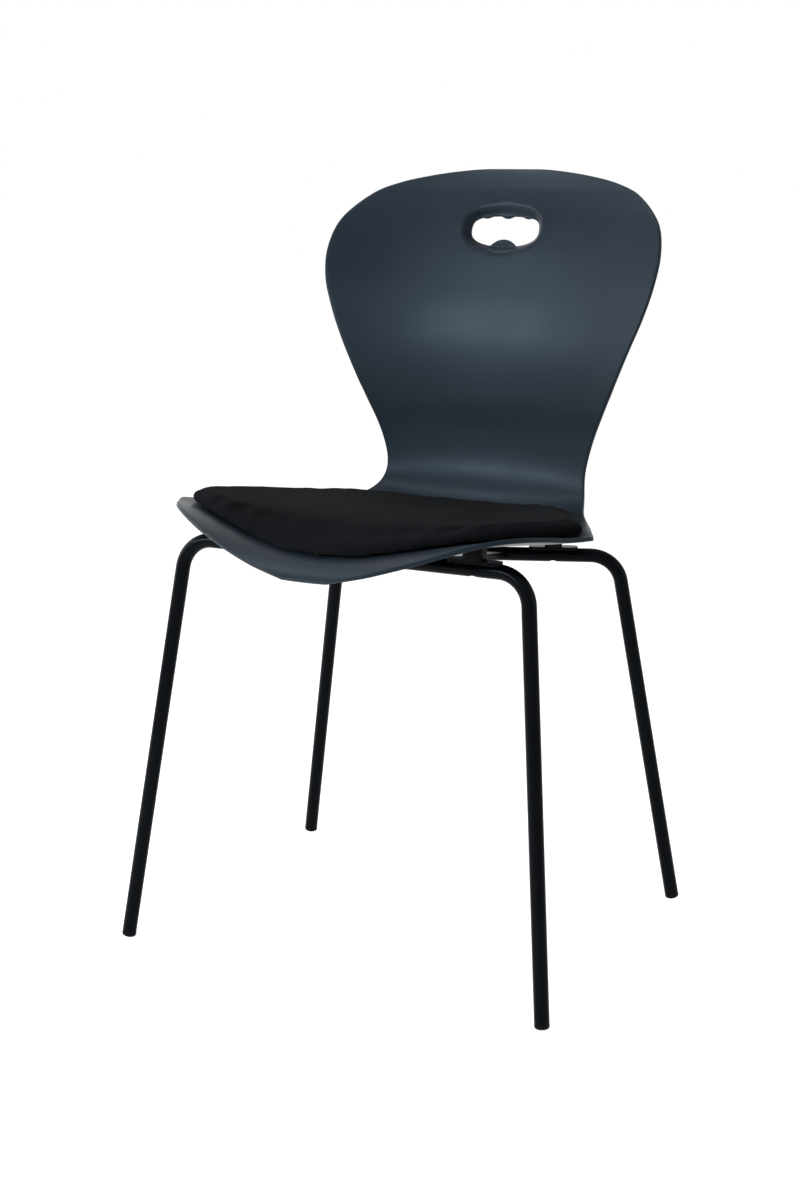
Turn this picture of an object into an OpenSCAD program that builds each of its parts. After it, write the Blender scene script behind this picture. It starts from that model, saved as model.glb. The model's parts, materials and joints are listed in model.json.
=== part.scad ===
// Side chair: a moulded seat and back shell with a seat pad, on two bent tube leg bows.
// Millimetres. X runs across the chair, the front faces -Y, the floor is at Z = 0.
// A distance called a setback is measured backwards from the front edge of the seat.

/* [Shell] */
// Height of the back's top edge above the floor
overall_h = 847; // [810:1:890]
// Depth of the shell's middle line, from the seat's front edge to the back's top edge
shell_depth = 503; // [480:1:530]
// Width of the seat where it is widest
seat_w = 502; // [470:1:530]
// Width of the waist between seat and back
waist_w = 266; // [250:1:290]
// Width of the back where it is widest
back_w = 424; // [400:1:450]
// Height of the seat's crest above the floor
crest_h = 470; // [460:1:485]
// How far the seat's front edge hangs below the crest
seat_drop = 24; // [20:1:28]
// Rise of the seat's middle cross-section at its sides
seat_lift = 35; // [28:1:42]
// Rise of the waist's cross-section at its sides
waist_lift = 18; // [14:1:22]
// Hollow of the back's cross-section at its sides
back_lift = 40; // [34:1:46]
// Wall of the shell
shell_t = 5; // [4:0.5:6]

/* [Finger hole] */
// Width of the hole
hole_w = 88; // [70:1:100]
// Height of the hole
hole_h = 38; // [34:1:46]
// Distance of the hole's middle below the back's top edge
hole_down = 69; // [62:1:90]
// Width of the border of the recess round the hole
hole_border = 6; // [4:0.5:9]
// Height of the recess above the hole
recess_over = 12; // [8:1:16]
// How far the collar stands out behind the shell
collar_depth = 7; // [6:1:12]
// Depth of the flange that the hole is cut in
flange_t = 5; // [3:0.5:7]
// How far the ridges between the fingers stand down into the hole
ridge_h = 3; // [1.5:0.5:4]
// Distance between two ridges
finger_pitch = 27; // [24:0.5:29]
// Diameter of a ridge's rounding
ridge_d = 22; // [16:1:24]
// Width of the palm bump at the bottom of the hole
bump_w = 32; // [24:1:40]

/* [Pad] */
// Thickness of the pad board
board_t = 4; // [3:0.5:6]
// Height of the foam's upright edge
foam_edge = 5; // [3:0.5:6]
// Height of the foam above the board, inside the rounded edge
foam_t = 11; // [8:1:14]
// Extra height of the foam at its middle
crown = 1.5; // [1:0.5:5]
// Radius of the pad's rounded edge
pad_round = 15; // [11:1:20]
// Thickness of the cover
cover_t = 1; // [0.6:0.1:1.5]
// Margin of bare shell beside the pad
pad_margin = 9; // [8:1:16]
// Setback of the pad's front edge
pad_front = 28; // [24:1:40]
// Distance of the pad's rear edge in front of the back's top edge
pad_rear = 102; // [99:1:118]

/* [Frame] */
// Outer diameter of the tube
tube_d = 16; // [15:0.5:18]
// Wall of the tube
tube_wall = 2; // [1.5:0.25:2.25]
// Radius of the leg bends, to the middle of the tube
bend_r = 36; // [30:1:45]
// Radius of the bend in the middle of the rear cross tube
apex_r = 120; // [90:5:160]
// Gap between the front cross tube and the shell at the middle
tube_gap = 3.4; // [3:0.1:8]
// How far the rear cross tube lies below the front one
rear_step = 38; // [30:1:44]
// Distance between the front feet
front_feet_w = 511; // [480:1:540]
// Distance between the front leg bends
front_bend_w = 409; // [395:1:420]
// Setback of the front feet
front_feet_back = 37; // [20:1:50]
// Setback of the front cross tube
front_tube_back = 100; // [92:1:108]
// Distance between the rear feet
rear_feet_w = 500; // [480:1:530]
// Distance between the rear leg bends
rear_bend_w = 363; // [350:1:380]
// Distance of the rear feet in front of the back's top edge
rear_feet_back = 68; // [43:1:83]
// Distance of the rear leg bends in front of the back's top edge
rear_bend_back = 102; // [93:1:111]
// Distance of the middle of the rear cross tube in front of the back's top edge
rear_apex_back = 175; // [158:1:185]
// Distance between the stringers
stringer_w = 120; // [100:1:140]
// Width of a stringer bar
bar_w = 20; // [14:1:24]
// Thickness of a stringer bar
bar_t = 5; // [4:0.5:6]

/* [Fixings] */
// Distance between the front fixings
front_fix_w = 290; // [276:1:300]
// Distance between the rear fixings
rear_fix_w = 228; // [216:1:240]
// Width of a front boss
boss_w = 22; // [20:1:26]
// Depth of a front boss
boss_l = 20; // [18:1:24]
// Corner radius of a front boss
boss_r = 5; // [3:0.5:7]
// Diameter of a rear boss
boss_d = 20; // [16:1:24]
// Thickness of a saddle above the tube
saddle_t = 2; // [1.5:0.5:3]
// Length of a front saddle
front_saddle_l = 62; // [50:1:70]
// Length of a rear saddle
rear_saddle_l = 56; // [44:1:64]
// Width of a saddle
saddle_w = 14; // [12:0.5:15]
// Diameter of the frame bolts
bolt_d = 5; // [4:0.5:5]
// Diameter of a frame bolt's head
bolt_head_d = 9.5; // [8:0.5:10]
// Height of a frame bolt's head
bolt_head_h = 2.8; // [2:0.2:3.2]
// Gap round a bolt's head in the hole that it passes to get into the tube
access_gap = 0.75; // [0.5:0.25:1]
// Length of a frame bolt's shank
bolt_l = 17; // [14:1:18]
// Diameter of the threaded inserts in the shell
insert_d = 8; // [7:0.5:10]
// Length of the threaded inserts
insert_l = 12; // [9:1:14]
// Diameter of the pad screws
screw_d = 4; // [3:0.5:4.5]
// Diameter of a pad screw's head
screw_head_d = 8; // [7:0.5:9]
// Height of a pad screw's head
screw_head_h = 2.6; // [2:0.2:3.2]
// Distance between the left and right pad screws
screw_w = 150; // [140:1:170]
// Setback of the front pad screws
screw_front = 146; // [136:1:160]
// Distance of the rear pad screws in front of the back's top edge
screw_rear = 185; // [177:1:203]
// Diameter of the flat lands that the pad screws bear on
land_d = 14; // [11:1:16]
// Height of those lands below the shell
land_h = 3; // [2:0.5:4]
// Diameter of a tee nut's flange
nut_flange_d = 13; // [11:0.5:14]
// Thickness of a tee nut's flange
nut_flange_t = 1; // [0.8:0.1:1.2]
// Diameter of a tee nut's barrel
nut_d = 6.4; // [5.6:0.2:7]
// Depth of a tee nut's flange below the top of the board
nut_sink = 0.8; // [0.7:0.1:1]

/* [Feet] */
// Length of a foot cap below the tube
cap_h = 5; // [4:0.5:8]
// Radius of a foot cap's rounded edge
cap_round = 3; // [2:0.5:4]
// Length of the plug inside the tube
plug_l = 18; // [12:1:26]
// Gap round the plug
plug_gap = 0.1; // [0.05:0.05:0.2]
// Depth that the cap is worn flat on the floor
cap_flat = 0.6; // [0.4:0.1:0.9]

/* [Hidden] */
$fn = 48;

shell_color = [0.16, 0.19, 0.23];
pad_color = [0.08, 0.08, 0.09];
foam_color = [0.75, 0.72, 0.60];
board_color = [0.62, 0.50, 0.36];
frame_color = [0.10, 0.10, 0.11];
zinc_color = [0.62, 0.63, 0.65];
brass_color = [0.72, 0.60, 0.32];
foot_color = [0.05, 0.05, 0.06];

// Clearance of a screw in a plain hole, of a thread, and of the pad on the shell
hole_gap = 0.3;
thread_gap = 0.05;
pad_gap = 0.6;
// Overrun of cuts
over = 1;
// Cells across the shell, and steps between two rows of its tables
shell_cells = 18;
row_steps = 2;
// Sides of the tube's mesh, and the most degrees between its rings in a bend
tube_sides = 24;
bend_step = 9;
// Turn of the lift below which a row belongs to the seat
seat_turn_share = 0.1;

// Rows of the shell along its middle line. A row holds its depth as a share of shell_depth, its
// height, its half width and its lift as shares, and how far the lift has turned from up to forwards.
// Heights below zero are shares of seat_drop under the crest, the others of the back above the crest.
// Half widths and lifts are shares of the seat's, the waist's and the back's own sizes.
seat_row_shares = [
    [0.000, -1.00, 0.10, 1.45, 0], [0.006, -0.86, 0.17, 1.45, 0], [0.016, -0.69, 0.27, 1.46, 0],
    [0.032, -0.50, 0.38, 1.48, 0], [0.052, -0.34, 0.49, 1.50, 0], [0.078, -0.21, 0.605, 1.52, 0],
    [0.121, -0.07, 0.725, 1.32, 0], [0.185, 0.00, 0.843, 0.95, 0], [0.260, -0.04, 0.940, 0.64, 0],
    [0.310, -0.105, 0.990, 0.58, 0], [0.340, -0.15, 0.975, 0.56, 0], [0.430, -0.31, 0.895, 0.62, 0],
    [0.539, -0.54, 0.800, 0.70, 0], [0.638, -0.73, 0.712, 0.83, 0]
];
waist_row_shares = [
    [0.718, -0.85, 1.210, 0.59, 0], [0.777, -0.79, 1.110, 0.74, 0], [0.819, -0.52, 1.060, 0.865, 0.04],
    [0.849, -0.08, 1.030, 0.94, 0.28], [0.867, 0.037, 1.008, 1.01, 0.60], [0.877, 0.095, 1.000, 1.02, 0.87],
    [0.879, 0.194, 1.060, 1.04, 1]
];
back_row_shares = [
    [0.874, 0.289, 0.731, 1.15, 1], [0.874, 0.385, 0.802, 1.15, 1], [0.879, 0.480, 0.873, 1.12, 1],
    [0.890, 0.573, 0.939, 1.06, 1], [0.9055, 0.666, 0.987, 1.05, 1], [0.9225, 0.761, 1.000, 0.93, 1],
    [0.942, 0.849, 0.953, 0.80, 1], [0.966, 0.923, 0.815, 0.72, 1], [0.980, 0.958, 0.670, 0.72, 1],
    [0.990, 0.981, 0.485, 0.74, 1], [0.997, 0.996, 0.270, 0.76, 1], [1.000, 1.000, 0.120, 0.76, 1]
];
// Outline of the pad: share of the way from its front to its rear, and share of the bare half width
pad_row_shares = [
    [0.000, 0.000], [0.003, 0.18], [0.014, 0.36], [0.036, 0.52], [0.070, 0.66], [0.130, 0.80],
    [0.210, 0.90], [0.300, 0.975], [0.380, 1.00], [0.470, 1.00], [0.570, 1.00], [0.670, 1.00],
    [0.770, 1.00], [0.850, 0.97], [0.915, 0.88], [0.960, 0.72], [0.988, 0.45], [1.000, 0.000]
];
// Rings of the pad inside its rounded edge, and the steps over that edge, as shares
inner_ring_shares = [0.90, 0.79, 0.67, 0.54, 0.39, 0.22];
edge_ring_shares = [0, 0.1, 0.3, 0.6, 1];

// One row as [setback, height, half width, rise per square millimetre, turn]
function row(r, w, lift) = [
    r[0]*shell_depth,
    crest_h + (r[1] < 0 ? r[1]*seat_drop : r[1]*(overall_h - crest_h)),
    r[2]*w/2,
    r[3]*lift/pow(w/2, 2),
    r[4]
];
shell_rows = concat(
    [for (r = seat_row_shares) row(r, seat_w, seat_lift)],
    [for (r = waist_row_shares) row(r, waist_w, waist_lift)],
    [for (r = back_row_shares) row(r, back_w, back_lift)]
);

// Smooth curve through four neighbours, at share t of the way from b to c
function smooth(a, b, c, d, t) =
    0.5*((2*b) + (c - a)*t + (2*a - 5*b + 4*c - d)*t*t + (3*b - a - 3*c + d)*t*t*t);
function at(rows, i) = rows[max(0, min(len(rows) - 1, i))];
function smooth_rows(rows) = concat(
    [for (i = [0:len(rows) - 2]) for (k = [0:row_steps - 1])
        smooth(at(rows, i - 1), at(rows, i), at(rows, i + 1), at(rows, i + 2), k/row_steps)],
    [rows[len(rows) - 1]]
);
stations = smooth_rows(shell_rows);

// Upright normal of the middle line at a station, as [y, z]
function tangent(i) =
    let (a = at(stations, i - 1), b = at(stations, i + 1), d = [b[0] - a[0], b[1] - a[1]]) d/norm(d);
function outward(i) = let (t = tangent(i)) [-t[1], t[0]];

// A point of the shell's upper face, then of its lower face, before the chair is centred
function upper(i, x) =
    let (s = stations[i], lift = s[3]*x*x, a = 90*s[4]) [x, s[0] - lift*sin(a), s[1] + lift*cos(a)];
function lower(i, x) = let (n = outward(i)) upper(i, x) - shell_t*[0, n[0], n[1]];
function across(i, j) = stations[i][2]*(2*j/shell_cells - 1);
raw_upper = [for (i = [0:len(stations) - 1]) for (j = [0:shell_cells]) upper(i, across(i, j))];
raw_lower = [for (i = [0:len(stations) - 1]) for (j = [0:shell_cells]) lower(i, across(i, j))];

// The chair's reach to the front and back, which centres it on Y
all_y = [for (p = concat(raw_upper, raw_lower)) p[1]];
y_shift = -(min(all_y) + max(all_y))/2;
function back_by(d) = d + y_shift;
// Place on Y at a distance in front of the back's top edge
function before_back(d) = back_by(shell_depth - d);
function centred(points) = [for (p = points) p + [0, y_shift, 0]];

// Height of the seat's upper face, and where it lies above a place on the seat
mid_heights = [for (s = stations) if (s[4] < seat_turn_share) [s[0], s[1]]];
mid_rises = [for (s = stations) if (s[4] < seat_turn_share) [s[0], s[3]]];
mid_widths = [for (s = stations) if (s[4] < seat_turn_share) [s[0], s[2]]];
function seat_z(x, d) = lookup(d, mid_heights) + lookup(d, mid_rises)*x*x;

// Heights and places of the frame
front_tube_z = crest_h - shell_t - tube_gap - tube_d/2;
rear_tube_z = front_tube_z - rear_step;
front_tube_y = back_by(front_tube_back);
rear_slope = (rear_apex_back - rear_bend_back)/(rear_bend_w/2);
rear_fix_back = rear_apex_back - rear_slope*rear_fix_w/2;
rear_angle = atan(rear_slope);
front_path = [
    [-front_feet_w/2, back_by(front_feet_back), 0], [-front_bend_w/2, front_tube_y, front_tube_z],
    [front_bend_w/2, front_tube_y, front_tube_z], [front_feet_w/2, back_by(front_feet_back), 0]
];
rear_path = [
    [-rear_feet_w/2, before_back(rear_feet_back), 0], [-rear_bend_w/2, before_back(rear_bend_back), rear_tube_z],
    [0, before_back(rear_apex_back), rear_tube_z],
    [rear_bend_w/2, before_back(rear_bend_back), rear_tube_z], [rear_feet_w/2, before_back(rear_feet_back), 0]
];
front_bends = [0, bend_r, bend_r, 0];
rear_bends = [0, bend_r, apex_r, bend_r, 0];
sides = [-1, 1];

// Fixing places as [x, y, height of the tube's middle]
front_fixings = [for (s = sides) [s*front_fix_w/2, front_tube_y, front_tube_z]];
rear_fixings = [for (s = sides) [s*rear_fix_w/2, before_back(rear_fix_back), rear_tube_z]];
fixings = concat(front_fixings, rear_fixings);
// A bolt's head bears on the inside of the tube's upper wall
bore_r = tube_d/2 - tube_wall;
head_seat = sqrt(pow(bore_r, 2) - pow(bolt_head_d/2, 2)) - thread_gap;
head_access_d = bolt_head_d + 2*access_gap;
saddle_top = tube_d/2 + saddle_t;

// Pad screw places as [x, setback]
screws = [for (d = [screw_front, shell_depth - screw_rear]) for (s = sides) [s*screw_w/2, d]];
function land_z(s) = seat_z(s[0], s[1]) - shell_t - land_h;

function unit(v) = v/norm(v);
function flat(lists) = [for (l = lists) for (e = l) e];

// Triangles between two rings of n points that start at points a and b
function ring_band(a, b, n) = flat([for (k = [0:n - 1]) let (m = (k + 1) % n)
    [[a + k, b + k, b + m], [a + k, b + m, a + m]]]);
function turned(faces) = [for (f = faces) [f[0], f[2], f[1]]];

// Path of a bent tube: how far a bend turns, and how far it reaches along its legs
function bend_angle(p, i) = acos(unit(p[i] - p[i - 1])*unit(p[i + 1] - p[i]));
function bend_reach(p, r, i) = r[i]*tan(bend_angle(p, i)/2);

// Places along the bend at point i, each as [place, direction]
function bend_places(p, r, i) =
    let (u = unit(p[i] - p[i - 1]), v = unit(p[i + 1] - p[i]), inward = unit(v - (u*v)*u),
         start = p[i] - bend_reach(p, r, i)*u, n = ceil(bend_angle(p, i)/bend_step))
    [for (k = [0:n]) let (a = k*bend_angle(p, i)/n)
        [start + r[i]*(sin(a)*u + (1 - cos(a))*inward), cos(a)*u + sin(a)*inward]];
// Places along the whole path, shortened by cut at both ends
function path_places(p, r, cut) =
    let (last = len(p) - 1, u = unit(p[1] - p[0]), v = unit(p[last] - p[last - 1]))
    concat([[p[0] + cut*u, u]], flat([for (i = [1:last - 1]) bend_places(p, r, i)]), [[p[last] - cut*v, v]]);
// Sideways direction at each place, carried along without a twist
function square_to(n, u) = unit(n - (n*u)*u);
function sideways(places) = [for (i = 0, n = square_to([0, 1, 0], places[0][1]); i < len(places);
    i = i + 1, n = i < len(places) ? square_to(n, places[i][1]) : n) n];
function tube_rings(p, r, radius, cut) =
    let (places = path_places(p, r, cut), side = sideways(places))
    flat([for (i = [0:len(places) - 1]) let (w = cross(places[i][1], side[i]))
        [for (k = [0:tube_sides - 1]) let (a = 360*k/tube_sides)
            places[i][0] + radius*(cos(a)*side[i] + sin(a)*w)]]);
// Triangles of the wall that joins rings of points, the first at point s
function wall(s, rings) = flat([for (i = [0:rings - 2])
    ring_band(s + i*tube_sides, s + (i + 1)*tube_sides, tube_sides)]);

// A bent tube along path p, with open ends
module bent_tube(p, bends) {
    outer = tube_rings(p, bends, tube_d/2, cap_h);
    inner = tube_rings(p, bends, bore_r, cap_h);
    count = len(outer);
    rings = count/tube_sides;
    last = (rings - 1)*tube_sides;
    polyhedron(concat(outer, inner), concat(
        wall(0, rings), turned(wall(count, rings)),
        turned(ring_band(0, count, tube_sides)), ring_band(last, count + last, tube_sides)));
}

// A leg bow: a bent tube with open ends and a stepped hole at each fixing
module leg_bow(p, bends, places) {
    color(frame_color) difference() {
        bent_tube(p, bends);
        for (f = places) {
            translate(f) cylinder(h = tube_d, d = bolt_d + 2*hole_gap);
            translate(f - [0, 0, tube_d]) cylinder(h = tube_d, d = head_access_d);
        }
    }
}
module front_leg_bow() leg_bow(front_path, front_bends, front_fixings);
module rear_leg_bow() leg_bow(rear_path, rear_bends, rear_fixings);

// A flat bar between the two cross tubes, coped to both
stringer_rear_back = rear_apex_back - rear_slope*stringer_w/2;
module stringer(side) {
    a = [side*stringer_w/2, front_tube_y, front_tube_z];
    b = [side*stringer_w/2, before_back(stringer_rear_back), rear_tube_z];
    d = b - a;
    color(frame_color) difference() {
        translate(a) rotate([atan2(d[2], d[1]), 0, 0]) translate([-bar_w/2, 0, -bar_t/2])
            cube([bar_w, norm(d), bar_t]);
        translate(a) rotate([0, 90, 0]) cylinder(h = 2*bar_w, d = tube_d, center = true);
        translate(b) rotate([0, 0, side*rear_angle]) rotate([0, 90, 0])
            cylinder(h = 4*bar_w, d = tube_d, center = true);
    }
}
module left_stringer() stringer(-1);
module right_stringer() stringer(1);

// A saddle on top of the tube at a fixing, hollowed to fit it
module saddle(f, l, angle) {
    color(frame_color) difference() {
        translate(f) rotate([0, 0, angle]) {
            translate([-(l - saddle_w)/2, -saddle_w/2, 0]) cube([l - saddle_w, saddle_w, saddle_top]);
            for (s = sides) translate([s*(l - saddle_w)/2, 0, 0]) cylinder(h = saddle_top, d = saddle_w);
        }
        translate(f) rotate([0, 0, angle]) rotate([0, 90, 0])
            cylinder(h = 2*l, d = tube_d, center = true);
        translate(f - [0, 0, over]) rotate([0, 0, angle]) translate([-l, -tube_d, 0])
            cube([2*l, 2*tube_d, over + tube_d/2 - saddle_t]);
        translate(f) cylinder(h = tube_d, d = bolt_d + 2*hole_gap);
    }
}
module front_left_saddle() saddle(front_fixings[0], front_saddle_l, 0);
module front_right_saddle() saddle(front_fixings[1], front_saddle_l, 0);
module rear_left_saddle() saddle(rear_fixings[0], rear_saddle_l, -rear_angle);
module rear_right_saddle() saddle(rear_fixings[1], rear_saddle_l, rear_angle);

// The shell's skin as one closed mesh
module shell_skin() {
    rows = len(stations);
    cols = shell_cells + 1;
    half = rows*cols;
    top = flat([for (i = [0:rows - 2]) for (j = [0:cols - 2]) let (a = i*cols + j)
        [[a, a + cols, a + cols + 1], [a, a + cols + 1, a + 1]]]);
    under = [for (f = top) [f[0] + half, f[2] + half, f[1] + half]];
    side_edges = flat([for (i = [0:rows - 2]) let (a = i*cols, b = i*cols + cols - 1)
        [[a, a + half, a + cols + half], [a, a + cols + half, a + cols],
         [b, b + cols + half, b + half], [b, b + cols, b + cols + half]]]);
    end_edges = flat([for (j = [0:cols - 2]) let (b = (rows - 1)*cols + j)
        [[j, j + 1, j + 1 + half], [j, j + 1 + half, j + half],
         [b, b + 1 + half, b + 1], [b, b + half, b + 1 + half]]]);
    polyhedron(concat(centred(raw_upper), centred(raw_lower)), concat(top, under, side_edges, end_edges));
}

// Outlines of the finger hole, drawn with X across and Y up
function ellipse(w, h) = [for (a = [0:10:350]) [w/2*cos(a), h/2*sin(a)]];
module recess_outline(border) {
    translate([0, recess_over/2 - hole_border/2])
        polygon(ellipse(hole_w + 2*border, hole_h + recess_over + hole_border + 2*(border - hole_border)));
}
module hole_outline() {
    difference() {
        intersection() {
            polygon(ellipse(hole_w, 2*hole_h));
            translate([-hole_w/2, -hole_h/2]) square([hole_w, hole_h]);
        }
        translate([0, -hole_h/2 - bump_w/4]) circle(d = bump_w);
        for (k = [-1:1]) translate([k*finger_pitch, hole_h/2 - ridge_h + ridge_d/2]) circle(d = ridge_d);
    }
}

// Setback and height of the finger hole's middle on the shell
hole_z = overall_h - hole_down;
back_places = [for (s = stations) if (s[4] == 1 && s[0] > 0) [s[1], s[0]]];
hole_y = back_by(lookup(hole_z, back_places));
hole_lean = atan((lookup(hole_z + hole_h/2, back_places) - lookup(hole_z - hole_h/2, back_places))/hole_h);
collar_start = shell_t/5;
collar_back = shell_t + collar_depth;

// Turns an outline to lie on the back and extrudes it from a to b behind the hole's middle
module through_back(a, b) {
    translate([0, hole_y, hole_z]) rotate([90 - hole_lean, 0, 0]) translate([0, 0, -b])
        linear_extrude(height = b - a) children();
}

module shell() {
    color(shell_color) difference() {
        union() {
            shell_skin();
            through_back(collar_start, collar_back) recess_outline(hole_border + shell_t/2);
            for (f = front_fixings) front_boss(f);
            for (f = rear_fixings) rear_boss(f);
            for (s = screws) land(s);
        }
        through_back(-back_lift, collar_back - flange_t) recess_outline(hole_border);
        through_back(-back_lift, collar_back + over) hole_outline();
        for (f = fixings) insert_hole(f);
        for (s = screws) translate([s[0], back_by(s[1]), land_z(s) - over])
            cylinder(h = over + land_h + 2*shell_t, d = screw_d + 2*hole_gap);
    }
}

// Height that a boss reaches inside the shell's wall
function boss_top(f) = seat_z(f[0], f[1] - y_shift) - shell_t/2;
module front_boss(f) {
    h = boss_top(f) - f[2] - saddle_top;
    translate([f[0], f[1], f[2] + saddle_top]) {
        translate([-boss_w/2 + boss_r, -boss_l/2, 0]) cube([boss_w - 2*boss_r, boss_l, h]);
        translate([-boss_w/2, -boss_l/2 + boss_r, 0]) cube([boss_w, boss_l - 2*boss_r, h]);
        for (sx = sides) for (sy = sides)
            translate([sx*(boss_w/2 - boss_r), sy*(boss_l/2 - boss_r), 0]) cylinder(h = h, r = boss_r);
    }
}
module rear_boss(f) {
    translate([f[0], f[1], f[2] + saddle_top]) cylinder(h = boss_top(f) - f[2] - saddle_top, d = boss_d);
}
module insert_hole(f) {
    translate([f[0], f[1], f[2] + saddle_top - over]) cylinder(h = insert_l + over, d = insert_d);
}
module land(s) {
    translate([s[0], back_by(s[1]), land_z(s)]) cylinder(h = land_h + shell_t/2, d = land_d);
}

module shell_inserts() {
    color(brass_color) for (f = fixings) translate([f[0], f[1], f[2] + saddle_top]) difference() {
        cylinder(h = insert_l, d = insert_d);
        translate([0, 0, -over]) cylinder(h = insert_l + 2*over, d = bolt_d + 2*thread_gap);
    }
}

module frame_bolts() {
    color(zinc_color) for (f = fixings) translate([f[0], f[1], f[2] + head_seat]) {
        cylinder(h = bolt_l, d = bolt_d);
        translate([0, 0, -bolt_head_h]) cylinder(h = bolt_head_h, d = bolt_head_d);
    }
}

// The pad's outline, then its rings, each a closed loop of [x, setback]
pad_l = shell_depth - pad_rear - pad_front;
pad_middle = [0, pad_front + pad_l/2];
function bare_half(d) = lookup(d, mid_widths) - pad_margin;
pad_side = [for (r = pad_row_shares) let (d = pad_front + r[0]*pad_l) [r[1]*bare_half(d), d]];
pad_side_last = len(pad_side) - 1;
pad_outline = concat(pad_side, [for (i = [pad_side_last - 1:-1:1]) [-pad_side[i][0], pad_side[i][1]]]);
pad_points = len(pad_outline);
function inset_point(p, e) = p - e*unit(p - pad_middle);
function inset_ring(e) = [for (p = pad_outline) inset_point(p, e)];
function scaled_ring(e, k) = [for (p = inset_ring(e)) pad_middle + k*(p - pad_middle)];

// Height of a face that rises over the rounded edge, at a share of that edge
function edge_rise(k) = foam_edge + (foam_t - foam_edge)*sqrt(1 - pow(1 - k, 2));
function crown_rise(k) = foam_t + crown*(1 - k*k);
// Rings of the foam's top when skin is zero, and of the cover's outside when skin is cover_t
function top_rings(skin) = concat(
    [for (k = edge_ring_shares) [inset_ring(cover_t - skin + k*pad_round), edge_rise(k) + skin]],
    [for (k = inner_ring_shares) [scaled_ring(cover_t + pad_round, k), crown_rise(k) + skin]]
);
pad_rings = len(edge_ring_shares) + len(inner_ring_shares);
// Points of rings at a height over the seat, with the middle point last
function lift_ring(ring, h) = [for (p = ring) [p[0], back_by(p[1]), seat_z(p[0], p[1]) + h]];
function face_points(skin, base, flat_face) = concat(
    flat([for (r = top_rings(skin)) lift_ring(r[0], base + (flat_face ? 0 : r[1]))]),
    lift_ring([pad_middle], base + (flat_face ? 0 : foam_t + crown + skin))
);
face_count = pad_rings*pad_points + 1;
// Triangles of a face whose rings start at point s, seen from above
function face_triangles(s) = concat(
    flat([for (i = [0:pad_rings - 2]) ring_band(s + i*pad_points, s + (i + 1)*pad_points, pad_points)]),
    [for (k = [0:pad_points - 1])
        [s + (pad_rings - 1)*pad_points + k, s + face_count - 1,
         s + (pad_rings - 1)*pad_points + (k + 1) % pad_points]]
);
board_top = pad_gap + board_t;

// A closed solid between two faces with the same rings, the upper one first
module between(top, under) {
    polyhedron(concat(top, under), concat(
        face_triangles(0), turned(face_triangles(face_count)), turned(ring_band(0, face_count, pad_points))));
}

module pad_board() {
    color(board_color) difference() {
        between(face_points(0, board_top, true), face_points(0, pad_gap, true));
        for (s = screws) translate([s[0], back_by(s[1]), seat_z(s[0], s[1])]) {
            translate([0, 0, -over]) cylinder(h = board_top + 2*over, d = nut_d);
            translate([0, 0, board_top - nut_sink - nut_flange_t])
                cylinder(h = nut_flange_t + nut_sink + over, d = nut_flange_d);
        }
    }
}

module pad_foam() {
    color(foam_color) between(face_points(0, board_top, false), face_points(0, board_top, true));
}

module pad_cover() {
    outside = face_points(cover_t, board_top, false);
    inside = face_points(0, board_top, false);
    outer_foot = lift_ring(inset_ring(0), pad_gap);
    inner_foot = lift_ring(inset_ring(cover_t), pad_gap);
    feet = 2*face_count;
    color(pad_color) polyhedron(concat(outside, inside, outer_foot, inner_foot), concat(
        face_triangles(0), turned(face_triangles(face_count)),
        turned(ring_band(0, feet, pad_points)),
        turned(ring_band(feet, feet + pad_points, pad_points)),
        turned(ring_band(feet + pad_points, face_count, pad_points))));
}

// Height of the top of a tee nut, which the screws don't pass
function nut_top(s) = seat_z(s[0], s[1]) + board_top - nut_sink;
module pad_tee_nuts() {
    color(zinc_color) for (s = screws) difference() {
        union() {
            translate([s[0], back_by(s[1]), nut_top(s) - nut_flange_t])
                cylinder(h = nut_flange_t, d = nut_flange_d);
            translate([s[0], back_by(s[1]), seat_z(s[0], s[1]) + 2*pad_gap])
                cylinder(h = nut_top(s) - seat_z(s[0], s[1]) - 2*pad_gap, d = nut_d);
        }
        translate([s[0], back_by(s[1]), seat_z(s[0], s[1]) - over])
            cylinder(h = board_top + 2*over, d = screw_d + 2*thread_gap);
    }
}

module pad_screws() {
    color(zinc_color) for (s = screws) translate([s[0], back_by(s[1]), land_z(s)]) {
        cylinder(h = nut_top(s) - land_z(s), d = screw_d);
        translate([0, 0, -screw_head_h]) cylinder(h = screw_head_h, d = screw_head_d);
    }
}

// A foot on the end of a leg: a plug in the tube and a rounded cap, cut level with the floor
module foot(p) {
    u = unit(p[1] - p[0]);
    lean = norm([u[0], u[1]]);
    drop = (tube_d/2 - cap_round)*lean + cap_round - cap_round*u[2];
    base = p[0] + u*(drop - cap_flat)/u[2];
    top = norm(p[0] + cap_h*u - base);
    color(foot_color) intersection() {
        translate(base) rotate([0, acos(u[2]), atan2(u[1], u[0])]) rotate_extrude() {
            square([tube_d/2 - cap_round, top]);
            translate([0, cap_round]) square([tube_d/2, top - cap_round]);
            translate([tube_d/2 - cap_round, cap_round]) intersection() {
                circle(r = cap_round);
                translate([0, -cap_round]) square([cap_round, cap_round]);
            }
            square([bore_r - plug_gap, top + plug_l]);
        }
        translate([p[0][0] - 2*tube_d, p[0][1] - 2*tube_d, 0]) cube([4*tube_d, 4*tube_d, cap_h + plug_l + tube_d]);
    }
}
front_last = len(front_path) - 1;
rear_last = len(rear_path) - 1;
module front_left_foot() foot([front_path[0], front_path[1]]);
module front_right_foot() foot([front_path[front_last], front_path[front_last - 1]]);
module rear_left_foot() foot([rear_path[0], rear_path[1]]);
module rear_right_foot() foot([rear_path[rear_last], rear_path[rear_last - 1]]);

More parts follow.
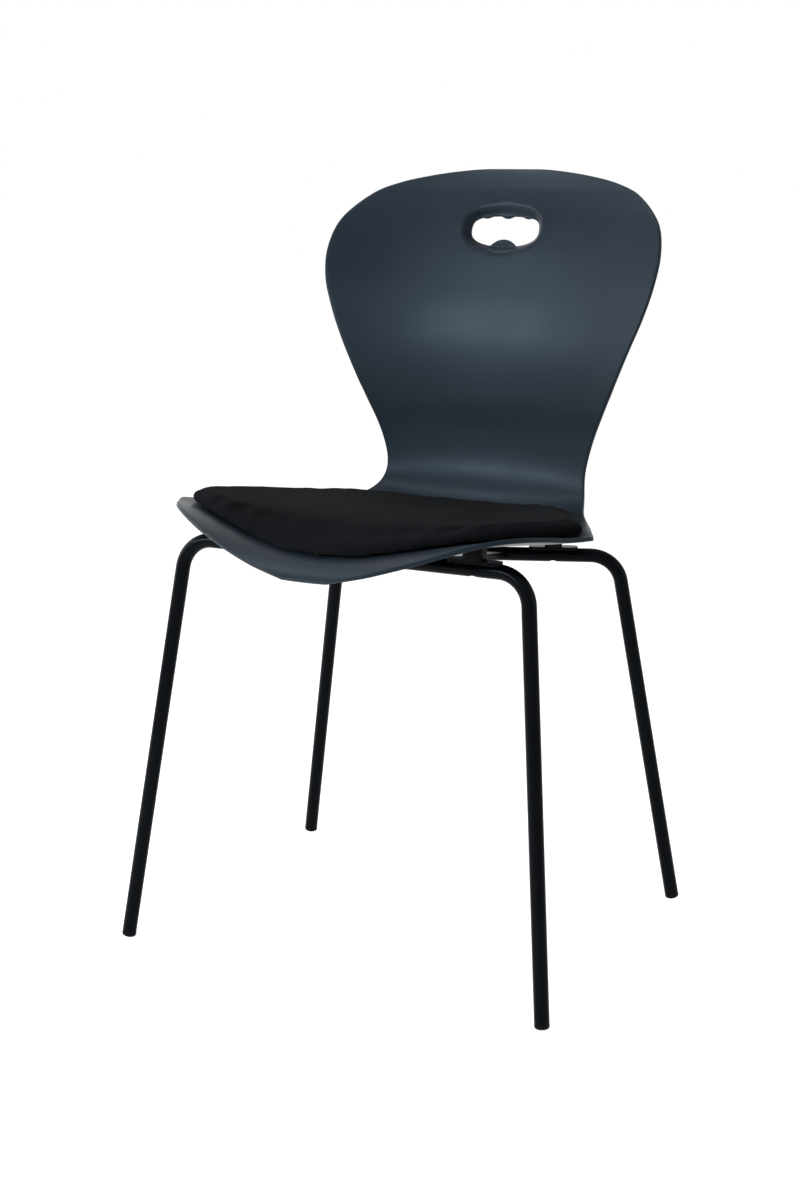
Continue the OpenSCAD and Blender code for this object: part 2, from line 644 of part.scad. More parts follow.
shell();
shell_inserts();
pad_board();
pad_foam();
pad_cover();
pad_tee_nuts();
pad_screws();
front_leg_bow();
rear_leg_bow();
left_stringer();
right_stringer();
front_left_saddle();
front_right_saddle();
rear_left_saddle();
rear_right_saddle();
frame_bolts();
front_left_foot();
front_right_foot();
rear_left_foot();
rear_right_foot();
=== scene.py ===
"""Looks of the choir chair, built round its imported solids.

The shell, the pad and the leg tubes are modelled here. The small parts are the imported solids.
"""
from __future__ import annotations

import json
import logging
import math
from dataclasses import dataclass, field
from enum import Enum
from typing import Iterable, Sequence

import bmesh
import bpy
import numpy as np
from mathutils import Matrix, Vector

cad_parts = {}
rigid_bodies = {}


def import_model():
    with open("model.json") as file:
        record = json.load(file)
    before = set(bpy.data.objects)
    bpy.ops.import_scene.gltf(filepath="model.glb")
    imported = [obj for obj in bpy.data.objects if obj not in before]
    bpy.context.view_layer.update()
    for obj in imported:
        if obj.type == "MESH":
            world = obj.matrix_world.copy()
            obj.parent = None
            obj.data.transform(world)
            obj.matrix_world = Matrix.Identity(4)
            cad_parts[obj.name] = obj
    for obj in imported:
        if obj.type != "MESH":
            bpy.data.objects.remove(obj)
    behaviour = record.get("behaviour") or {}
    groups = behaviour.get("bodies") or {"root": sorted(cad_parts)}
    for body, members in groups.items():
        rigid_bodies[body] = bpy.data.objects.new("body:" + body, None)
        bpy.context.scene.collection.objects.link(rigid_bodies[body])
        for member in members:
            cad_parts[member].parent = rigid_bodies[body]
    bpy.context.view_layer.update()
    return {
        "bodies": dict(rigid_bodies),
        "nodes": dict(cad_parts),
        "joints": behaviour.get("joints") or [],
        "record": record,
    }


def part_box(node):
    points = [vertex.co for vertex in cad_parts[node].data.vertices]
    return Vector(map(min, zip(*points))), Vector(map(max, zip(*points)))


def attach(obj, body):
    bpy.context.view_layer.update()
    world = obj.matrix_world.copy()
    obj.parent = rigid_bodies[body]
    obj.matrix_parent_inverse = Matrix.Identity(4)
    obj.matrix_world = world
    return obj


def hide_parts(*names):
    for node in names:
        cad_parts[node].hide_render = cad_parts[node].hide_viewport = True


LOG = logging.getLogger("choir_chair")
BODY = "root"
MM = 0.001
MERGE_WITHIN = 0.01 * MM
SHARP_ANGLE = 40.0
EDGE_STEPS = 3
SMOOTH_STEP = 0.5
PAD_NODES = ("pad_cover", "pad_foam", "pad_board")


class Slot(Enum):
    """Material slots of the record."""

    SHELL = "shell_plastic"
    FABRIC = "pad_fabric"
    FOAM = "foam"
    BOARD = "board"
    FRAME = "frame_paint"
    ZINC = "zinc"
    BRASS = "brass"
    FOOT = "foot_plastic"


# Helpers for modelling


def deselect_all() -> None:
    """Leaves object mode with nothing selected."""
    if bpy.context.mode != "OBJECT":
        bpy.ops.object.mode_set(mode="OBJECT")
    bpy.ops.object.select_all(action="DESELECT")


def make_active(piece: bpy.types.Object) -> None:
    """Selects one object alone and makes it the active one.

    Args:
        piece: the object to work on.
    """
    deselect_all()
    piece.select_set(True)
    bpy.context.view_layer.objects.active = piece


def name_new(name: str) -> bpy.types.Object:
    """Names the primitive that was just added.

    Args:
        name: the piece's name.

    Returns:
        The new object.
    """
    piece = bpy.context.object
    piece.name = name
    piece.data.name = name
    return piece


def select_vertices(piece: bpy.types.Object, wanted: Iterable[int]) -> None:
    """Selects vertices by number, in edit mode with vertex selection.

    Args:
        piece: the object, which is the active one.
        wanted: numbers of its vertices.
    """
    bpy.ops.object.mode_set(mode="OBJECT")
    bpy.context.tool_settings.mesh_select_mode = (True, False, False)
    chosen = set(wanted)
    for polygon in piece.data.polygons:
        polygon.select = False
    for edge in piece.data.edges:
        edge.select = False
    for vertex in piece.data.vertices:
        vertex.select = vertex.index in chosen
    bpy.ops.object.mode_set(mode="EDIT")


def apply_modifier(piece: bpy.types.Object, kind: str, **settings: object) -> None:
    """Adds a modifier with these settings and applies it.

    Args:
        piece: the object to change.
        kind: Blender's name of the modifier type.
        **settings: values of the modifier's properties.
    """
    make_active(piece)
    modifier = piece.modifiers.new(kind.title(), kind)
    for key, value in settings.items():
        setattr(modifier, key, value)
    bpy.ops.object.modifier_apply(modifier=modifier.name)


def round_edges(piece: bpy.types.Object, width: float, degrees: float, clamp: bool = True) -> None:
    """Rounds the edges that turn more than an angle.

    Args:
        piece: the object to round.
        width: how wide the rounding is.
        degrees: the angle.
        clamp: whether a rounding stops where it meets another.
    """
    apply_modifier(piece, "BEVEL", width=width, segments=EDGE_STEPS, limit_method="ANGLE",
                   angle_limit=math.radians(degrees), use_clamp_overlap=clamp)


def settle(piece: bpy.types.Object) -> None:
    """Moves the object's place, turn and scale into its mesh.

    Args:
        piece: the object to settle.
    """
    make_active(piece)
    bpy.ops.object.transform_apply(location=True, rotation=True, scale=True)


def face_outwards(piece: bpy.types.Object) -> None:
    """Merges doubles and turns every face of a closed mesh outwards.

    Args:
        piece: the object to mend.
    """
    make_active(piece)
    bpy.ops.object.mode_set(mode="EDIT")
    bpy.ops.mesh.select_all(action="SELECT")
    bpy.ops.mesh.remove_doubles(threshold=MERGE_WITHIN)
    bpy.ops.mesh.normals_make_consistent(inside=False)
    bpy.ops.object.mode_set(mode="OBJECT")


def face_towards(piece: bpy.types.Object, outside: Vector, number: int | None = None) -> None:
    """Makes the faces of an open surface agree, and turns them the right way out.

    Args:
        piece: the open surface.
        outside: a direction out of it.
        number: the face to judge by, or none for the mean of all.
    """
    face_outwards(piece)
    faces = piece.data.polygons
    judged = faces if number is None else [faces[number]]
    if sum((face.normal * face.area for face in judged), Vector()).dot(outside) < 0:
        bpy.ops.object.mode_set(mode="EDIT")
        bpy.ops.mesh.select_all(action="SELECT")
        bpy.ops.mesh.flip_normals()
        bpy.ops.object.mode_set(mode="OBJECT")


def smooth_below(piece: bpy.types.Object, degrees: float) -> None:
    """Shades smooth, apart from edges that turn more than an angle.

    Args:
        piece: the object to shade.
        degrees: the angle.
    """
    make_active(piece)
    bpy.ops.object.shade_smooth_by_angle(angle=math.radians(degrees))


def finish_piece(piece: bpy.types.Object, slot: Slot, material: bpy.types.Material,
                 *nodes: str) -> None:
    """Dresses a piece and lets it ride on the chair in place of its solids.

    Args:
        piece: the finished object.
        slot: not used.
        material: its material.
        *nodes: the CAD nodes that it stands for.
    """
    piece.data.materials.clear()
    piece.data.materials.append(material)
    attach(piece, BODY)
    if nodes:
        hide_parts(*nodes)
    LOG.info("%s: %d faces", piece.name, len(piece.data.polygons))


# Shader building


class Shader:
    """A material's or a group's node tree, with short calls to fill it."""

    def __init__(self, tree: bpy.types.NodeTree) -> None:
        """Keeps the node tree that the calls fill."""
        self.tree = tree

    def add(self, kind: str, **values: object) -> bpy.types.Node:
        """Adds a node and sets its properties and sockets.

        Args:
            kind: the node's type name without the ShaderNode prefix, or Group ends.
            **values: properties of the node, or sockets, with spaces written as underscores.

        Returns:
            The node.
        """
        node = self.tree.nodes.new(kind if kind.startswith("NodeGroup") else "ShaderNode" + kind)
        for key, value in values.items():
            socket = node.inputs.get(key.replace("_", " "))
            if socket is not None:
                socket.default_value = value
            else:
                setattr(node, key, value)
        return node

    def join(self, source: bpy.types.NodeSocket, target: bpy.types.NodeSocket) -> None:
        """Links an output to an input."""
        self.tree.links.new(source, target)

    def group(self, tree: bpy.types.NodeTree, place: bpy.types.NodeSocket,
              **values: float) -> bpy.types.Node:
        """Adds a shared group at given coordinates.

        Args:
            tree: the group's tree.
            place: the coordinates.
            **values: the group's number inputs.

        Returns:
            The node.
        """
        node = self.add("Group", node_tree=tree, **values)
        self.join(place, node.inputs["Vector"])
        return node

    def noise(self, place: bpy.types.NodeSocket, scale: bpy.types.NodeSocket, detail: float,
              roughness: float = 0.5) -> bpy.types.NodeSocket:
        """Adds a noise texture.

        Args:
            place: the coordinates.
            scale: its scale.
            detail: how many finer layers it has.
            roughness: how strong those are.

        Returns:
            The noise's socket.
        """
        node = self.add("TexNoise", Detail=detail, Roughness=roughness)
        self.join(place, node.inputs["Vector"])
        self.join(scale, node.inputs["Scale"])
        return node.outputs["Fac"]

    def blend(self, tone: bpy.types.NodeSocket, first: Sequence[float],
              second: Sequence[float]) -> bpy.types.NodeSocket:
        """Mixes two colours.

        Args:
            tone: 0 for the first colour and 1 for the second.
            first: the first colour.
            second: the second colour.

        Returns:
            The colour's socket.
        """
        node = self.add("Mix", data_type="RGBA")
        # The node keeps its colours behind the sockets of its other kinds of data
        factor, low, high = (node.inputs[number] for number in (0, 6, 7))
        low.default_value, high.default_value = (*first, 1.0), (*second, 1.0)
        self.join(tone, factor)
        return node.outputs[2]

    def math(self, operation: str, first: object, second: object) -> bpy.types.NodeSocket:
        """Adds a Math node.

        Args:
            operation: Blender's name of the operation.
            first: a socket or a number.
            second: a socket or a number.

        Returns:
            The result's socket.
        """
        node = self.tree.nodes.new("ShaderNodeMath")
        node.operation = operation
        for place, value in enumerate((first, second)):
            if isinstance(value, bpy.types.NodeSocket):
                self.join(value, node.inputs[place])
            else:
                node.inputs[place].default_value = value
        return node.outputs[0]

    def seen(self, rays: bpy.types.Node) -> bpy.types.NodeSocket:
        """Tells the rays that show a background: from the camera, in gloss and through glass.

        Args:
            rays: a Light Path node.

        Returns:
            A socket that is 1 for those rays.
        """
        gloss, glass = rays.outputs["Is Glossy Ray"], rays.outputs["Is Transmission Ray"]
        either = self.math("MAXIMUM", gloss, glass)
        return self.math("MAXIMUM", rays.outputs["Is Camera Ray"], either)

    def ramp(self, factor: bpy.types.NodeSocket, low: float, high: float,
             out_low: float = 0.0, out_high: float = 1.0) -> bpy.types.NodeSocket:
        """Maps a value from one range to another, with clamping.

        Args:
            factor: the value.
            low: start of its range.
            high: end of its range.
            out_low: result at the start.
            out_high: result at the end.

        Returns:
            The mapped value's socket.
        """
        node = self.tree.nodes.new("ShaderNodeMapRange")
        node.clamp = True
        for place, value in enumerate((low, high, out_low, out_high), start=1):
            node.inputs[place].default_value = value
        self.join(factor, node.inputs[0])
        return node.outputs[0]


def new_group(name: str, inputs: dict[str, float],
              outputs: Sequence[str]) -> tuple[Shader, bpy.types.Node, bpy.types.Node]:
    """Makes an empty shader node group with a Vector input, named numbers and named results.

    Args:
        name: the group's name.
        inputs: names of its number inputs, with their usual values.
        outputs: names of its results, which are numbers.

    Returns:
        The group's shader, its input node and its output node.
    """
    tree = bpy.data.node_groups.new(name, "ShaderNodeTree")
    tree.interface.new_socket("Vector", in_out="INPUT", socket_type="NodeSocketVector")
    for key, value in inputs.items():
        socket = tree.interface.new_socket(key, in_out="INPUT", socket_type="NodeSocketFloat")
        socket.default_value = value
    for key in outputs:
        tree.interface.new_socket(key, in_out="OUTPUT", socket_type="NodeSocketFloat")
    shader = Shader(tree)
    return shader, shader.add("NodeGroupInput"), shader.add("NodeGroupOutput")


class Effects:
    """Shader groups that several finishes share."""

    grain_inputs: dict[str, float] = {"Fine": 1500.0, "Coarse": 160.0, "Waviness": 0.3}
    wear_inputs: dict[str, float] = {"Smudge Size": 9.0, "Scuff Size": 34.0, "Scuffs": 0.7}
    smudge_range: tuple[float, float] = (0.35, 0.7)
    scuff_range: tuple[float, float] = (0.66, 0.74)
    scuff_turn: tuple[float, float, float] = (0.4, 0.9, 0.3)
    scuff_stretch: tuple[float, float, float] = (1.0, 0.12, 0.35)
    patch_range: tuple[float, float] = (0.58, 0.7)
    patch_share: float = 0.4

    def __init__(self) -> None:
        """Builds the groups once."""
        self.grain = self._grain()
        self.wear = self._wear()

    def _grain(self) -> bpy.types.NodeTree:
        """Fine moulded or sprayed texture: a fine and a coarse noise added as a height.

        Returns:
            The group.
        """
        shader, source, result = new_group("surface_grain", self.grain_inputs, ["Height"])
        place = source.outputs["Vector"]
        fine, coarse = (shader.noise(place, source.outputs[key], 2.0) for key in ("Fine", "Coarse"))
        waves = shader.math("MULTIPLY", coarse, source.outputs["Waviness"])
        shader.join(shader.math("ADD", fine, waves), result.inputs["Height"])
        return shader.tree

    def _wear(self) -> bpy.types.NodeTree:
        """Handling marks: broad smudges and short thin scuffs, each as a mask from 0 to 1.

        Returns:
            The group.
        """
        shader, source, result = new_group("handling_wear", self.wear_inputs, ["Smudge", "Scuff"])
        place, size = source.outputs["Vector"], source.outputs["Scuff Size"]
        smudge = shader.noise(place, source.outputs["Smudge Size"], 3.0, 0.55)
        shader.join(shader.ramp(smudge, *self.smudge_range), result.inputs["Smudge"])
        stretch = shader.add("Mapping", Rotation=self.scuff_turn, Scale=self.scuff_stretch)
        shader.join(place, stretch.inputs["Vector"])
        line = shader.noise(stretch.outputs["Vector"], size, 2.0, 0.6)
        patch = shader.noise(place, shader.math("MULTIPLY", size, self.patch_share), 0.0)
        marks = shader.math("MULTIPLY", shader.ramp(line, *self.scuff_range),
                            shader.ramp(patch, *self.patch_range))
        scuff = shader.math("MULTIPLY", marks, source.outputs["Scuffs"])
        shader.join(scuff, result.inputs["Scuff"])
        return shader.tree


@dataclass(frozen=True)
class Finish:
    """A surface finish, from which a material is made."""

    name: str
    colour: tuple[float, float, float]
    second: tuple[float, float, float]
    rough_low: float
    rough_high: float
    metal: float = 0.0
    specular: float = 0.5
    gloss_tint: tuple[float, float, float] = (1.0, 1.0, 1.0)
    fine: float = 1500.0
    coarse: float = 160.0
    waviness: float = 0.3
    bump: float = 0.05
    bump_depth: float = 0.0001
    scuffs: float = 0.4
    smudge_tone: float = 0.35

    def start(self) -> tuple[bpy.types.Material, Shader, bpy.types.Node, bpy.types.NodeSocket]:
        """Makes the material with its constant values set on the shader's own sockets.

        Returns:
            The material, its shader, the Principled node and the object coordinates.
        """
        material = bpy.data.materials.new(self.name)
        material.use_nodes = True
        shader = Shader(material.node_tree)
        surface = material.node_tree.nodes["Principled BSDF"]
        surface.inputs["Metallic"].default_value = self.metal
        surface.inputs["Specular IOR Level"].default_value = self.specular
        surface.inputs["Specular Tint"].default_value = (*self.gloss_tint, 1.0)
        return material, shader, surface, shader.add("TexCoord").outputs["Object"]

    def grain_height(self, shader: Shader, effects: Effects,
                     place: bpy.types.NodeSocket) -> bpy.types.NodeSocket:
        """Adds the shared grain with this finish's sizes.

        Args:
            shader: the material's shader.
            effects: the shared shader groups.
            place: the object coordinates.

        Returns:
            The grain's height.
        """
        grain = shader.group(effects.grain, place, Fine=self.fine, Coarse=self.coarse,
                             Waviness=self.waviness)
        return grain.outputs["Height"]

    def dress(self, shader: Shader, surface: bpy.types.Node, tone: bpy.types.NodeSocket,
              dullness: bpy.types.NodeSocket, height: bpy.types.NodeSocket) -> None:
        """Joins the finish's patterns to its colour, roughness and relief.

        Args:
            shader: the material's shader.
            surface: its Principled node.
            tone: 0 where the first colour shows and 1 where the second does.
            dullness: 0 where it is smoothest and 1 where it is roughest.
            height: the relief.
        """
        shader.join(shader.blend(tone, self.colour, self.second), surface.inputs["Base Color"])
        rough = shader.ramp(dullness, 0.0, 1.0, self.rough_low, self.rough_high)
        shader.join(rough, surface.inputs["Roughness"])
        bump = shader.add("Bump", Strength=self.bump, Distance=self.bump_depth)
        shader.join(height, bump.inputs["Height"])
        shader.join(bump.outputs["Normal"], surface.inputs["Normal"])

    def material(self, effects: Effects) -> bpy.types.Material:
        """Makes the material: grain in its relief, wear in its colour and roughness.

        Args:
            effects: the shared shader groups.

        Returns:
            The material.
        """
        material, shader, surface, place = self.start()
        wear = shader.group(effects.wear, place, Scuffs=self.scuffs)
        smudge = wear.outputs["Smudge"]
        faint = shader.math("MULTIPLY", smudge, self.smudge_tone)
        mark = shader.math("MAXIMUM", faint, wear.outputs["Scuff"])
        self.dress(shader, surface, mark, smudge, self.grain_height(shader, effects, place))
        return material


@dataclass(frozen=True)
class WovenFabric(Finish):
    """Plain-weave upholstery fabric."""

    thread: float = 1.3 * MM
    slope: float = 0.7
    sheen: float = 0.02
    sheen_rough: float = 0.5
    fuzz: float = 0.4

    def material(self, effects: Effects) -> bpy.types.Material:
        """Makes the material: two crossing thread waves give the weave, and noise its mottling.

        Args:
            effects: the shared shader groups.

        Returns:
            The material.
        """
        material, shader, surface, place = self.start()
        surface.inputs["Sheen Weight"].default_value = self.sheen
        surface.inputs["Sheen Roughness"].default_value = self.sheen_rough
        split = shader.add("SeparateXYZ")
        shader.join(place, split.inputs[0])
        rise = shader.math("MULTIPLY", split.outputs[2], self.slope)
        waves = []
        for axis in (0, 1):
            along = shader.math("ADD", split.outputs[axis], rise)
            phase = shader.math("MULTIPLY", along, 2 * math.pi / self.thread)
            waves.append(shader.math("SINE", phase, 0.0))
        crossing = shader.ramp(shader.math("MULTIPLY", waves[0], waves[1]), -1.0, 1.0)
        smudge = shader.group(effects.wear, place).outputs["Smudge"]
        tone = shader.math("MULTIPLY", shader.math("ADD", crossing, smudge), 0.5)
        fuzz = shader.math("MULTIPLY", self.grain_height(shader, effects, place), self.fuzz)
        self.dress(shader, surface, tone, crossing, shader.math("ADD", crossing, fuzz))
        return material


@dataclass(frozen=True)
class Plywood(Finish):
    """Birch plywood with its grain along the chair's depth."""

    stretch: tuple[float, float, float] = (9.0, 0.8, 9.0)
    grain_scale: float = 24.0
    colour_range: tuple[float, float] = (0.35, 0.65)
    rough_range: tuple[float, float] = (0.3, 0.7)

    def material(self, effects: Effects) -> bpy.types.Material:
        """Makes the material: stretched noise gives the grain.

        Args:
            effects: the shared shader groups.

        Returns:
            The material.
        """
        material, shader, surface, place = self.start()
        stretch = shader.add("Mapping", Scale=self.stretch)
        shader.join(place, stretch.inputs["Vector"])
        noise = shader.add("TexNoise", Scale=self.grain_scale, Detail=6.0, Roughness=0.6)
        shader.join(stretch.outputs["Vector"], noise.inputs["Vector"])
        grain = noise.outputs["Fac"]
        self.dress(shader, surface, shader.ramp(grain, *self.colour_range),
                   shader.ramp(grain, *self.rough_range), grain)
        return material


class Finishes:
    """All materials of the chair, one for each slot."""

    def __init__(self, effects: Effects) -> None:
        """Makes the materials.

        Args:
            effects: the shared shader groups.
        """
        bare_metal = {"metal": 1.0, "fine": 2200.0, "coarse": 500.0, "bump": 0.08,
                      "bump_depth": 0.03 * MM}
        recipes: dict[Slot, Finish] = {
            Slot.SHELL: Finish(
                "moulded_slate_plastic", (0.0105, 0.0160, 0.0225), (0.0165, 0.0240, 0.032),
                0.36, 0.44, specular=0.16, gloss_tint=(0.60, 0.79, 1.0), fine=1400.0,
                coarse=220.0, bump=0.06, bump_depth=0.05 * MM, scuffs=0.5),
            Slot.FABRIC: WovenFabric(
                "woven_black_fabric", (0.0035, 0.004, 0.005), (0.008, 0.009, 0.011),
                0.82, 0.95, specular=0.02, sheen=0.005, fine=1800.0, coarse=300.0,
                bump=0.5, bump_depth=0.12 * MM),
            Slot.FOAM: Finish(
                "open_cell_foam", (0.75, 0.70, 0.55), (0.66, 0.60, 0.45), 0.9, 1.0,
                fine=900.0, coarse=300.0, bump=0.5, bump_depth=0.4 * MM, scuffs=0.0),
            Slot.BOARD: Plywood(
                "birch_plywood", (0.52, 0.38, 0.23), (0.36, 0.24, 0.13), 0.55, 0.7,
                bump=0.2, bump_depth=0.1 * MM),
            Slot.FRAME: Finish(
                "satin_black_powder_coat", (0.0022, 0.0025, 0.0031), (0.004, 0.0046, 0.006),
                0.17, 0.24, specular=0.05, gloss_tint=(0.7, 0.86, 1.0), fine=1100.0,
                coarse=420.0, waviness=0.8, bump=0.10, bump_depth=0.06 * MM, scuffs=0.3),
            Slot.ZINC: Finish(
                "zinc_plated_steel", (0.55, 0.56, 0.58), (0.40, 0.41, 0.44), 0.28, 0.45,
                scuffs=0.6, **bare_metal),
            Slot.BRASS: Finish(
                "turned_brass", (0.62, 0.46, 0.20), (0.48, 0.34, 0.14), 0.25, 0.40,
                scuffs=0.4, **bare_metal),
            Slot.FOOT: Finish(
                "moulded_black_foot", (0.004, 0.004, 0.005), (0.009, 0.009, 0.010),
                0.42, 0.60, specular=0.05, fine=1500.0, coarse=300.0, bump=0.15,
                bump_depth=0.06 * MM, scuffs=0.9),
        }
        self._made = {slot: recipe.material(effects) for slot, recipe in recipes.items()}

    def __getitem__(self, slot: Slot) -> bpy.types.Material:
        """The material of a slot."""
        return self._made[slot]


# The shell


def curve_at(rows: np.ndarray, place: float) -> np.ndarray:
    """Smooth curve through rows of values, at a place counted in rows.

    Args:
        rows: the values, a row for each knot.
        place: where to read, from 0 to the last row's number.

    Returns:
        The row there.
    """
    last = len(rows) - 1
    i = min(int(place), last - 1)
    t = place - i
    a, b, c, d = (rows[max(0, min(last, i + k))] for k in (-1, 0, 1, 2))
    square, cube = 2 * a - 5 * b + 4 * c - d, 3 * b - a - 3 * c + d
    return 0.5 * (2 * b + (c - a) * t + square * t**2 + cube * t**3)


@dataclass
class ShellSurface:
    """Upper face of the seat and back as a smooth surface, with the same sizes as the solid.

    A row of the tables holds its depth, height, half width and lift as shares, and its turn.
    """

    height: float = 847 * MM
    depth: float = 503 * MM
    crest: float = 470 * MM
    drop: float = 24 * MM
    seat_w: float = 502 * MM
    seat_lift: float = 35 * MM
    waist_w: float = 266 * MM
    waist_lift: float = 18 * MM
    back_w: float = 424 * MM
    back_lift: float = 40 * MM
    thickness: float = 5 * MM
    seat_shares: tuple[tuple[float, ...], ...] = (
        (0.000, -1.00, 0.10, 1.45, 0), (0.006, -0.86, 0.17, 1.45, 0),
        (0.016, -0.69, 0.27, 1.46, 0), (0.032, -0.50, 0.38, 1.48, 0),
        (0.052, -0.34, 0.49, 1.50, 0), (0.078, -0.21, 0.605, 1.52, 0),
        (0.121, -0.07, 0.725, 1.32, 0), (0.185, 0.00, 0.843, 0.95, 0),
        (0.260, -0.04, 0.940, 0.64, 0), (0.310, -0.105, 0.990, 0.58, 0),
        (0.340, -0.15, 0.975, 0.56, 0), (0.430, -0.31, 0.895, 0.62, 0),
        (0.539, -0.54, 0.800, 0.70, 0), (0.638, -0.73, 0.712, 0.83, 0))
    waist_shares: tuple[tuple[float, ...], ...] = (
        (0.718, -0.85, 1.210, 0.59, 0), (0.777, -0.79, 1.110, 0.74, 0),
        (0.819, -0.52, 1.060, 0.865, 0.04), (0.849, -0.08, 1.030, 0.94, 0.28),
        (0.867, 0.037, 1.008, 1.01, 0.60), (0.877, 0.095, 1.000, 1.02, 0.87),
        (0.879, 0.194, 1.060, 1.04, 1))
    back_shares: tuple[tuple[float, ...], ...] = (
        (0.874, 0.289, 0.731, 1.15, 1), (0.874, 0.385, 0.802, 1.15, 1),
        (0.879, 0.480, 0.873, 1.12, 1), (0.890, 0.573, 0.939, 1.06, 1),
        (0.9055, 0.666, 0.987, 1.05, 1), (0.9225, 0.761, 1.000, 0.93, 1),
        (0.942, 0.849, 0.953, 0.80, 1), (0.966, 0.923, 0.815, 0.72, 1),
        (0.980, 0.958, 0.670, 0.72, 1), (0.990, 0.981, 0.485, 0.74, 1),
        (0.997, 0.996, 0.270, 0.76, 1), (1.000, 1.000, 0.120, 0.76, 1))
    reach: float = 0.5
    seat_steps: int = 500
    back_steps: int = 400
    shift: float = 0.0
    rows: np.ndarray = field(init=False)

    def __post_init__(self) -> None:
        """Works out the rows in metres, and the shift that puts the surface where the solid is."""
        self.rows = np.array(
            [self._row(r, self.seat_w, self.seat_lift) for r in self.seat_shares]
            + [self._row(r, self.waist_w, self.waist_lift) for r in self.waist_shares]
            + [self._row(r, self.back_w, self.back_lift) for r in self.back_shares])
        places = np.linspace(0, self.last, 4 * len(self.rows))
        upper = [self.point(t, 0) for t in places]
        lower = [point - self.thickness * self.normal(t) for point, t in zip(upper, places)]
        nearest = min(point[1] for point in upper + lower)
        self.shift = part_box("shell")[0].y - nearest

    def _row(self, shares: Sequence[float], width: float, lift: float) -> list[float]:
        """One row in metres.

        Args:
            shares: the row's shares.
            width: the width that its half width is a share of.
            lift: the lift that its lift is a share of.

        Returns:
            Setback, height, half width, rise per square metre and turn.
        """
        up = shares[1] * (self.drop if shares[1] < 0 else self.height - self.crest)
        return [shares[0] * self.depth, self.crest + up, shares[2] * width / 2,
                shares[3] * lift / (width / 2) ** 2, shares[4]]

    @property
    def last(self) -> int:
        """Number of the last row."""
        return len(self.rows) - 1

    def half_width(self, t: float) -> float:
        """Half width of the shell at a place along it, in metres."""
        return float(curve_at(self.rows, t)[2])

    def seat_height(self, x: np.ndarray | float, y: np.ndarray | float) -> np.ndarray:
        """Height of the seat's upper face.

        Args:
            x: place across, or many.
            y: place along the chair, or many.

        Returns:
            The height there, in metres.
        """
        places = np.linspace(0, len(self.seat_shares) + 2, self.seat_steps)
        rows = np.array([curve_at(self.rows, t) for t in places])
        setback = y - self.shift
        middle, rise = (np.interp(setback, rows[:, 0], rows[:, column]) for column in (1, 3))
        return middle + rise * x * x

    def point(self, t: float, x: float) -> np.ndarray:
        """A point of the upper face.

        Args:
            t: place along the middle line, in rows.
            x: distance across from the middle.

        Returns:
            The point in the chair's frame.
        """
        y, z, _, rise, turn = curve_at(self.rows, t)
        lift, angle = rise * x * x, math.radians(90 * turn)
        return np.array([x, y - lift * math.sin(angle) + self.shift, z + lift * math.cos(angle)])

    def normal(self, t: float) -> np.ndarray:
        """Normal of the middle line, towards the sitter.

        Args:
            t: place along the middle line, in rows.

        Returns:
            A unit vector.
        """
        before = curve_at(self.rows, max(0, t - self.reach))
        after = curve_at(self.rows, min(self.last, t + self.reach))
        along = (after - before)[:2] / np.linalg.norm((after - before)[:2])
        return np.array([0.0, -along[1], along[0]])

    def place_at_height(self, z: float) -> float:
        """Place on the back's middle line at a height.

        Args:
            z: the height in metres.

        Returns:
            The place in rows.
        """
        first = len(self.seat_shares) + len(self.waist_shares)
        places = np.linspace(first, self.last, self.back_steps)
        return float(np.interp(z, [curve_at(self.rows, t)[1] for t in places], places))


